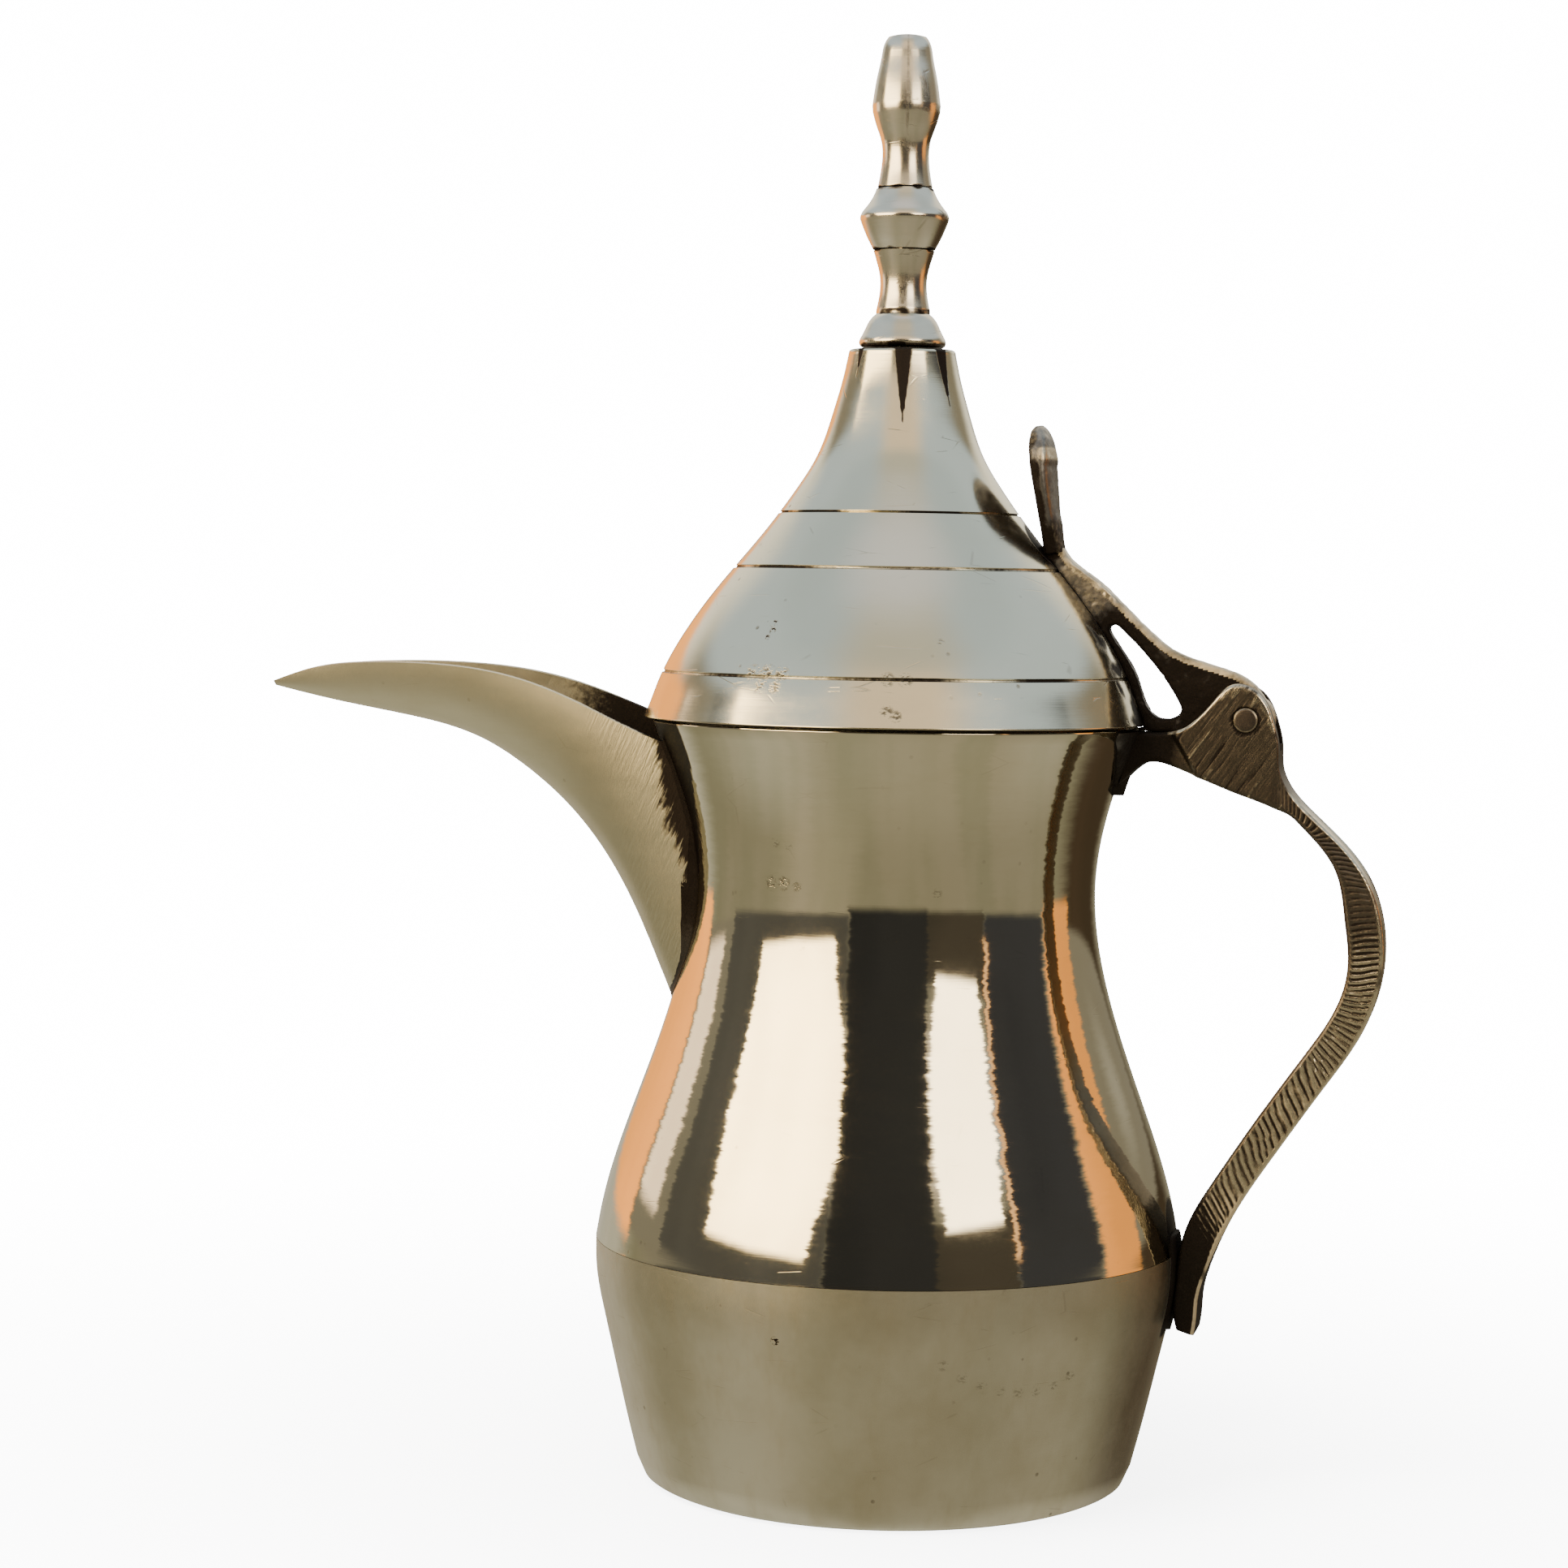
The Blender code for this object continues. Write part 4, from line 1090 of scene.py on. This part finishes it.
def pot_patch(name, outline, thickness, swell, steps=9):
    """A pad on the +X side of the pot. The outline is (half width, height) from top to bottom."""
    edge = spline(outline, steps)
    rows = []
    columns = 26
    for half_width, height in edge:
        row = []
        for side in (1, -1):
            for column in range(columns + 1):
                share = 2 * column / columns - 1
                share = share if side > 0 else -share
                across = half_width * share
                lift = thickness * (max(0.0, 1 - abs(share) ** 4)) ** 0.5
                lift += swell * max(0.0, 1 - abs(across) / 0.0062) ** 2
                radius = radius_at(POT_OUTSIDE, height) + (lift if side > 0 else -0.00015)
                turn = across / radius
                row.append(Vector((radius * math.cos(turn), radius * math.sin(turn), height)))
        rows.append(row)
    return loft(name, rows)


def soldered_pads():
    mesh = pot_patch("bracket_saddle", SADDLE_OUTLINE, 0.0010, 0.0012)
    # The saddle is darkest in its middle under the stem: tarnished solder with painted shade of the
    # hollow under the bracket.
    piece("bracket_saddle", mesh, "pot", "bracket_solder", "solder",
          tarnish=lambda point: 0.62 - 0.45 * fade(abs(point.y), 0.0085, 0.0130))
    smear = [(0.0016, 0.0508), (0.0058, 0.0500), (0.0064, 0.0460), (0.0067, 0.0420),
             (0.0064, 0.0375), (0.0058, 0.0343), (0.0030, 0.0324), (0.0008, 0.0319)]
    mesh = pot_patch("foot_weld", smear, 0.0009, 0.0)
    piece("foot_weld", mesh, "pot", "foot_solder", "solder", tarnish=lambda point: 0.8)


# --- the lid ---------------------------------------------------------------------------------

def bell():
    shoulder = LID_OUTSIDE[0]
    rim = 0.00025
    outside = grooved(LID_OUTSIDE, LID_GROOVE_HEIGHTS, LID_GROOVE_DEPTH, LID_GROOVE_HALF_WIDTH)
    inside = offset(spline(LID_NECK + LID_BELL[1:], 4), -WALL)
    inside[-1].y = LID_RIM_Z
    top_corner = Vector((shoulder.x - 0.0001, LID_TOP_Z))
    centre = Vector((STUD_BORE, LID_TOP_Z))
    top = [centre] + rounded(top_corner, centre, shoulder, 0.0007)
    under_corner = Vector((inside[0].x - 0.0004, LID_TOP_Z - WALL))
    under = [under_corner, Vector((STUD_BORE, LID_TOP_Z - WALL))]
    lip = rounded(outside[-1], outside[-2], inside[-1], rim)
    outline = top + outside[:-1] + lip + inside[::-1] + under
    mesh = lathe("bell", outline)

    def grime_and_shade(point):
        depth = radius_at(LID_OUTSIDE, point.z) - math.hypot(point.x, point.y)
        if depth > 0.0009 and point.z < LID_TOP_Z - 0.0006:
            return 0.5
        stains_and_shade = [0.9 if point.z > LID_TOP_Z - 0.0003 else 0.0]
        for height in LID_GROOVE_HEIGHTS:
            if abs(point.z - height) < 0.0005:
                turn = math.atan2(point.y, point.x)
                patch = 0.58 + 0.55 * noise.noise((turn * 3.0, height * 900, 0.0))
                stains_and_shade.append(fade(depth, 0.00008, 0.00022) * patch)
        # Painted shadow on the bell under the arm and in a strip beside it.
        if point.x > 0:
            spread = 0.0042 + 0.0022 * noise.noise(point * 260.0)
            arm = fade(abs(point.y), spread, 0.0022) * fade(point.z, 0.1860, 0.1815)
            beside = fade(abs(point.y), 0.0125, 0.0105) * fade(point.z, 0.1700, 0.1660)
            beside *= fade(point.y, 0.0, -0.0010) * (0.55 + noise.noise(point * 300.0))
            stains_and_shade += [0.8 * arm, 0.8 * beside]
        for centre, spread, foot in LID_DRIPS:
            size = spread * (point.z - foot) / (LID_TOP_Z - foot)
            if size > 0:
                stains_and_shade.append(0.9 * fade(abs(from_front(point) - centre), size, 0.5 * size))
        leaf = (point - Vector((0.0290, 0.0, 0.1830))).length
        return max(*stains_and_shade, fade(leaf, 0.0070, 0.0040))
    piece("bell", mesh, "lid", "lid_dome", "lid", tarnish=grime_and_shade)


def seating_ring():
    radius, wall, flange = 0.0429, 0.0010, 0.0472
    flange_foot, foot = RIM_Z + 0.0005, 0.1418
    corners = [Vector(p) for p in (
        (radius - wall, flange_foot + wall), (flange, flange_foot + wall), (flange, flange_foot),
        (radius, flange_foot), (radius, foot), (radius - wall, foot))]
    outline = []
    for index, corner in enumerate(corners):
        before, after = corners[index - 1], corners[(index + 1) % len(corners)]
        outline += rounded(corner, before, after, 0.0003, 3)
    mesh = lathe("seating_ring", outline, 160)
    piece("seating_ring", mesh, "lid", "lid_collar", "bowl", tarnish=lambda point: 0.35)


def lid_arm():
    knuckle = []
    for index in range(25):
        turn = math.radians(-118.0 + 172.0 * index / 24)
        knuckle.append(Vector((PIN.x + KNUCKLE_RADIUS * math.cos(turn),
                               PIN.z + KNUCKLE_RADIUS * math.sin(turn))))
    flank = [point - Vector((0.0006, 0.0)) for point in LID_OUTSIDE if point.y < 0.1790]
    back = spline(ARM_BACK, 6)
    outline = knuckle + back + ARM_FLANK_END + flank + ARM_UNDERSIDE
    window = spline(ARM_WINDOW + ARM_WINDOW[:1], 6)[:-1]
    plate = flat_plate("lid_arm", [outline, window], ARM_HALF_WIDTH, 0.0007)
    plate = recast(plate, 0.00030)
    roughen(plate, 0.00020, 620.0, 3.0)
    envelope = offset(LID_OUTSIDE, 0.00006)
    plug = [Vector((0.0, envelope[0].y)), *envelope, Vector((0.0, envelope[-1].y))]
    bore = rod("knuckle_cutter", PIN - Vector((0, 0.01, 0)), PIN + Vector((0, 0.01, 0)),
               PIN_HOLE_RADIUS)
    plate = carved(plate, [lathe("bell_cutter", plug, 200), bore])
    edges = [Vector((place.x, 0.0, place.y)) for place in back + knuckle]
    back_edge = remembered(edges, [1.0] * len(edges), 0.0014)

    def greyness(point):
        return fade((point.xz - ARM_GREY).length, 0.0100, 0.0040)

    def grime_and_shade(point):
        # The flat sides are darker than the top edge: tarnish and pits, with painted shade.
        side = fade(abs(point.y), 0.0012, 0.0020)
        speckle = 0.22 * noise.noise(point * 300.0) + 0.20 * noise.noise(point * 1100.0)
        return 0.42 + 0.36 * side - 0.40 * greyness(point) + speckle

    def rubbed_and_highlit(point):
        # The back edge is lightened as wear and as a painted highlight; the grey patch is rubbed.
        edge = back_edge(Vector((point.x, 0.0, point.z)))
        return max(edge * (0.75 + 0.35 * noise.noise(point * 260.0)), 0.42 * greyness(point))
    tongue = flat_plate("arm_tongue", [ARM_TONGUE], ARM_HALF_WIDTH - 0.0002, 0.0002)
    for name, mesh in (("lid_arm", plate), ("arm_tongue", tongue)):
        piece(name, mesh, "lid", "hinge_arm", "dark_casting", tarnish=grime_and_shade, wear=rubbed_and_highlit)


def thumb_leaf():
    rings = []
    steps, squareness = 48, 0.55
    for height, half_width, half_thickness in spline(THUMB_SECTIONS, 10):
        ring = []
        for step in range(steps):
            turn = 2 * math.pi * step / steps
            y = math.copysign(abs(math.cos(turn)) ** squareness, math.cos(turn)) * half_width
            x = math.copysign(abs(math.sin(turn)) ** squareness, math.sin(turn)) * half_thickness
            ledge = 0.00030 * fade(height, 0.0166, 0.0158) if x > 0 else 0.0
            stroke = 0.00010 * noise.noise((y * 300 + height * 900, height * 200, x * 50))
            x -= math.copysign(max(0.0, stroke), x) + ledge * fade(height, 0.0040, 0.0070)
            ring.append(Vector((x, y, height)))
        rings.append(ring)
    mesh = loft("thumb_leaf", rings)
    stand = Matrix.Translation(THUMB_FOOT) @ Matrix.Rotation(-THUMB_LEAN, 4, 'Y')
    upright = stand.inverted()
    mesh.transform(stand)

    def grime_and_shade(point):
        local = upright @ point
        # The front face and the foot are darker and the top is lighter: tarnish, with painted shade
        # in front and a painted highlight on top.
        front = fade(local.x, 0.0006, -0.0004)
        low = fade(local.z, 0.0070, 0.0030)
        top = fade(local.z, 0.0150, 0.0180)
        return 0.30 + 0.45 * max(front, low) - 0.25 * top + 0.35 * noise.noise(point * 350.0)

    def rubbed_and_highlit(point):
        local = upright @ point
        # The ledge, the back face and the top are lightened: wear, with painted highlights.
        ledge = fade(abs(local.z - THUMB_LEDGE), 0.0020, 0.0006) * fade(local.x, -0.0006, 0.0006)
        face = 0.38 * fade(local.x, 0.0002, 0.0010)
        return max(0.9 * ledge, face, 0.45 * fade(local.z, THUMB_LEDGE, 0.0215))
    piece("thumb_leaf", mesh, "lid", "thumb_piece", "dark_casting", tarnish=grime_and_shade, wear=rubbed_and_highlit)


def finial():
    bud = spline(FINIAL_BUD_TOP[:3], 4) + spline(FINIAL_BUD_TOP[2:], 4)[1:]
    bud += spline(FINIAL_BUD_FOOT, 6)
    bud += [Vector((STUD_BORE, bud[-1].y)), Vector((STUD_BORE, STUD_BORE_TOP)),
            Vector((0.0, STUD_BORE_TOP))]
    bead = bored(spline(FINIAL_BEAD[:3], 4) + spline(FINIAL_BEAD[2:5], 4)[1:]
                 + spline(FINIAL_BEAD[4:], 4)[1:])
    base = bored(spline(FINIAL_SPOOL, 6) + spline(FINIAL_FLANGE, 4))

    def grime_and_shade(point):
        near = min(abs(point.z - height) for height in FINIAL_JOINTS)
        patch = 0.5 + 0.9 * noise.noise(point * 420.0)
        torn = 0.6 * noise.noise(point * 700.0) + 0.5 * noise.noise(point * 2100.0)
        turn = from_front(point)
        stain = 0.45 * fade(abs(turn - 2.0), 7.0, 2.0) * fade(point.z, 0.2580, 0.2620)
        for centre, height, wide, tall in FINIAL_STAINS:
            away = math.hypot((turn - centre) / wide, (point.z - height) / tall)
            stain = max(stain, 0.55 * fade(away + torn, 1.3, 0.2))
        return max(fade(near, 0.0009, 0.0003) * patch, stain * fade(abs(turn), 150.0, 120.0))
    for name, node, outline in (("finial_tip", "finial_bud", bud),
                                ("finial_knop", "finial_bead", bead),
                                ("finial_foot", "finial_base", base)):
        mesh = lathe(name, outline, SMALL_SPIN_STEPS)
        piece(name, mesh, "lid", node, "finial", tarnish=grime_and_shade)


def bored(profile):
    """A turned piece's outside, closed down its bore."""
    return profile + [Vector((STUD_BORE, profile[-1].y)), Vector((STUD_BORE, profile[0].y))]


def fixings():
    """The finial's stud, washer and nut keep their CAD shapes, with softened edges."""
    for name in ("finial_stud", "finial_washer", "finial_nut"):
        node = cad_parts[name]
        for slot in node.material_slots:
            slot.material = MATERIALS["steel"]
        soften = node.modifiers.new("soften", 'BEVEL')
        soften.width = 0.0002
        soften.segments = 2
        soften.limit_method = 'ANGLE'


# --- surroundings ----------------------------------------------------------------------------

def studio_world():
    """A white backdrop for the camera. For light and reflections: a pale sky, warmer in front
    and bluer at the sides, over a beige ground that is lighter close by."""
    world = bpy.data.worlds.new("studio")
    bpy.context.scene.world = world
    s = Shader(world)
    ray = s.node('TexCoord').outputs["Generated"]
    turned = s.node('VectorRotate', {"Vector": ray, "Axis": (0.0, 0.0, 1.0),
                                               "Angle": -CAMERA_AZIMUTH},
                    rotation_type='AXIS_ANGLE').outputs[0]
    x, y, z = s.node('SeparateXYZ', {0: turned}).outputs
    azimuth = s.math('DEGREES', s.math('ARCTAN2', x, s.times(y, -1.0)))
    elevation = s.math('DEGREES', s.math('ARCSINE', z))

    ground = s.mix(s.band(azimuth, -66.0, -24.0, 14.0), (0.29, 0.265, 0.185), (0.42, 0.37, 0.265))
    ground = s.mix(s.band(azimuth, 26.0, 100.0, 16.0), ground, (0.29, 0.265, 0.190))
    ground = s.mix(s.band(azimuth, 112.0, 158.0, 10.0), ground, (0.065, 0.045, 0.028))
    ground = s.mix(s.band(azimuth, -179.0, -125.0, 10.0), ground, (0.62, 0.58, 0.47))
    near_ground = s.mix(s.band(azimuth, -60.0, 80.0, 30.0), (0.64, 0.61, 0.49),
                        (0.375, 0.345, 0.250))
    ground = s.mix(s.remap(elevation, -20.0, -46.0), ground, near_ground)
    around = s.node('CombineXYZ', {0: azimuth, 1: s.times(elevation, 0.3)})
    patches = s.remap(s.noise(around.outputs[0], 0.045, 2.0, 0.5), 0.35, 0.65)
    ground = s.mix(patches, s.scaled(ground, (0.92, 0.94, 0.90)),
                   s.scaled(ground, (1.08, 1.06, 1.06)))

    low_sky = s.mix(s.band(azimuth, -30.0, 34.0, 16.0), (0.62, 0.74, 0.84), (1.06, 0.86, 0.62))
    middle_sky = s.mix(s.band(azimuth, -40.0, 44.0, 22.0), (0.56, 0.67, 0.76), (0.64, 0.62, 0.53))
    colour = s.mix(s.remap(elevation, -1.0, 1.0), ground, (0.26, 0.235, 0.175))
    colour = s.mix(s.remap(elevation, 22.0, 30.0), colour, low_sky)
    colour = s.mix(s.remap(elevation, 44.0, 56.0), colour, middle_sky)
    colour = s.mix(s.remap(elevation, 62.0, 80.0), colour, (0.86, 0.88, 0.95))
    behind = s.times(s.remap(s.math('ABSOLUTE', azimuth), 122.0, 150.0),
                    s.remap(elevation, 4.0, 12.0))
    colour = s.mix(s.times(behind, s.remap(elevation, 60.0, 44.0)), colour,
                   (1.30, 1.24, 1.06))
    seen = s.node('LightPath').outputs["Is Camera Ray"]
    colour = s.mix(seen, colour, (BACKDROP, BACKDROP, BACKDROP))
    light = s.node('Background', {"Color": colour, "Strength": 1.0})
    s.finish(light, 'OutputWorld')


def card(name, left, right, distance, bottom, top, soft, paint, flare=0.0):
    """A curved studio card that only reflections see. Its edges are soft and uneven; left and
    right are degrees from the front, bottom and top are heights, flare narrows the foot."""
    vertices, faces = [], []
    columns, margin = 48, 0.06
    for column in range(columns + 1):
        turn = math.radians(left - soft + (right - left + 2 * soft) * column / columns)
        turn += CAMERA_AZIMUTH
        x, y = distance * math.sin(turn), -distance * math.cos(turn)
        vertices += [(x, y, bottom - margin), (x, y, top + margin)]
    for column in range(columns):
        base = 2 * column
        faces.append((base, base + 2, base + 3, base + 1))
    mesh = bpy.data.meshes.new(name)
    mesh.from_pydata(vertices, [], faces)
    thing = placed(name, mesh)
    material = bpy.data.materials.new(name)
    s = Shader(material)
    point = s.node('TexCoord').outputs["Object"]
    x, y, z = s.node('SeparateXYZ', {0: point}).outputs
    turn = s.math('ARCTAN2', x, s.times(y, -1.0))
    azimuth = s.minus(s.math('DEGREES', turn), math.degrees(CAMERA_AZIMUTH))
    uneven = s.minus(s.noise(point, 5.0, 3.0, 0.6), 0.5)
    azimuth = s.plus(azimuth, s.times(uneven, soft))
    half = 0.5 * (right - left)
    off_middle = s.minus(azimuth, left + half)
    narrowed = s.times(off_middle, s.remap(z, bottom, top, 1.0 + flare, 1.0))
    across = s.band(narrowed, -half, half, soft * 0.5)
    height = s.plus(z, s.times(uneven, 0.02))
    shown = s.times(across, s.band(height, bottom, top, 0.025))
    drift = s.remap(s.noise(point, 1.7, 2.0, 0.5), 0.3, 0.7, 0.86, 1.12)
    clear = s.node('BsdfTransparent')
    glow = s.node('Emission', {"Color": (*paint, 1.0), "Strength": drift})
    s.finish(s.blend(shown, clear, glow))
    mesh.materials.append(material)
    for kind in ("camera", "diffuse", "shadow", "transmission", "volume_scatter"):
        setattr(thing, "visible_" + kind, False)


def cards():
    """Two bright windows with a dark gap between them, and coloured flats at the sides."""
    card("left_window", -84.0, -22.0, 1.00, 0.222, 0.700, 2.0, (8.2, 6.2, 3.5), 0.42)
    card("right_window", 19.5, 51.0, 1.02, 0.380, 0.705, 2.0, (5.8, 4.8, 3.4), 0.34)
    card("dark_jamb", -98.0, -24.0, 1.05, 0.085, 0.640, 2.0, (0.105, 0.100, 0.088))
    card("dark_gap", -23.5, 18.5, 0.80, 0.065, 0.622, 2.0, (0.032, 0.031, 0.031))
    card("dark_sill", 17.0, 51.0, 1.04, 0.060, 0.420, 1.0, (0.065, 0.055, 0.042))
    card("dark_side", 51.0, 90.0, 1.00, 0.075, 0.650, 3.0, (0.045, 0.045, 0.050))
    card("edge_strip", 51.0, 53.0, 0.98, 0.200, 0.600, 0.8, (1.30, 0.70, 0.30))
    card("warm_right", 92.0, 114.0, 1.00, 0.030, 0.440, 3.0, (1.35, 0.52, 0.11))
    card("warm_left", -166.0, -121.0, 1.00, 0.030, 0.440, 3.0, (1.95, 0.74, 0.15))
    card("silver_left", -119.0, -105.0, 1.00, 0.160, 0.470, 3.0, (2.10, 1.62, 1.15))


def floor():
    """A pale floor that brightens into the backdrop away from the pot."""
    shape = bmesh.new()
    bmesh.ops.create_circle(shape, cap_ends=True, segments=96, radius=3.0)
    mesh = bpy.data.meshes.new("floor")
    shape.to_mesh(mesh)
    shape.free()
    thing = placed("floor", mesh)
    thing.location.z = -0.0001
    material = bpy.data.materials.new("floor")
    s = Shader(material)
    point = s.node('TexCoord').outputs["Object"]
    away = s.node('VectorMath', {0: point}, operation='LENGTH').outputs["Value"]
    matt = s.node('BsdfDiffuse', {"Color": (0.86, 0.86, 0.85, 1.0)})
    glow = s.node('Emission', {"Color": (1.0, 1.0, 1.0, 1.0), "Strength": BACKDROP})
    s.finish(s.blend(s.remap(away, -0.28, 0.50), matt, glow))
    mesh.materials.append(material)
    thing.visible_glossy = False
    thing.visible_diffuse = False


def key_light():
    """One large soft light high on the left, for the floor's shadow."""
    data = bpy.data.lights.new("key", 'AREA')
    data.shape = 'RECTANGLE'
    data.size, data.size_y = 0.9, 0.9
    data.energy = 120.0
    data.color = (1.0, 0.98, 0.95)
    thing = placed("key", data)
    thing.location = (-0.5, -0.7, 1.4)
    toward = Vector((0, 0, 0.1)) - thing.location
    thing.rotation_euler = toward.to_track_quat('-Z', 'Y').to_euler()
    thing.visible_camera = False
    thing.visible_glossy = False


def camera():
    data = bpy.data.cameras.new("camera")
    data.angle = CAMERA_FIELD
    data.clip_start = 0.01
    thing = placed("camera", data)
    place = Vector((math.sin(CAMERA_AZIMUTH) * CAMERA_DISTANCE,
                    -math.cos(CAMERA_AZIMUTH) * CAMERA_DISTANCE, CAMERA_HEIGHT))
    look = (CAMERA_TARGET - place).to_track_quat('-Z', 'Y')
    roll = Matrix.Rotation(CAMERA_ROLL, 4, 'Z')
    thing.matrix_world = Matrix.Translation(place) @ look.to_matrix().to_4x4() @ roll
    bpy.context.scene.camera = thing


upper_shell()
bowl()
beak()
beak_fillet()
handle()
hinge_rivet()
soldered_pads()
bell()
seating_ring()
lid_arm()
thumb_leaf()
finial()
fixings()
studio_world()
cards()
floor()
key_light()
camera()
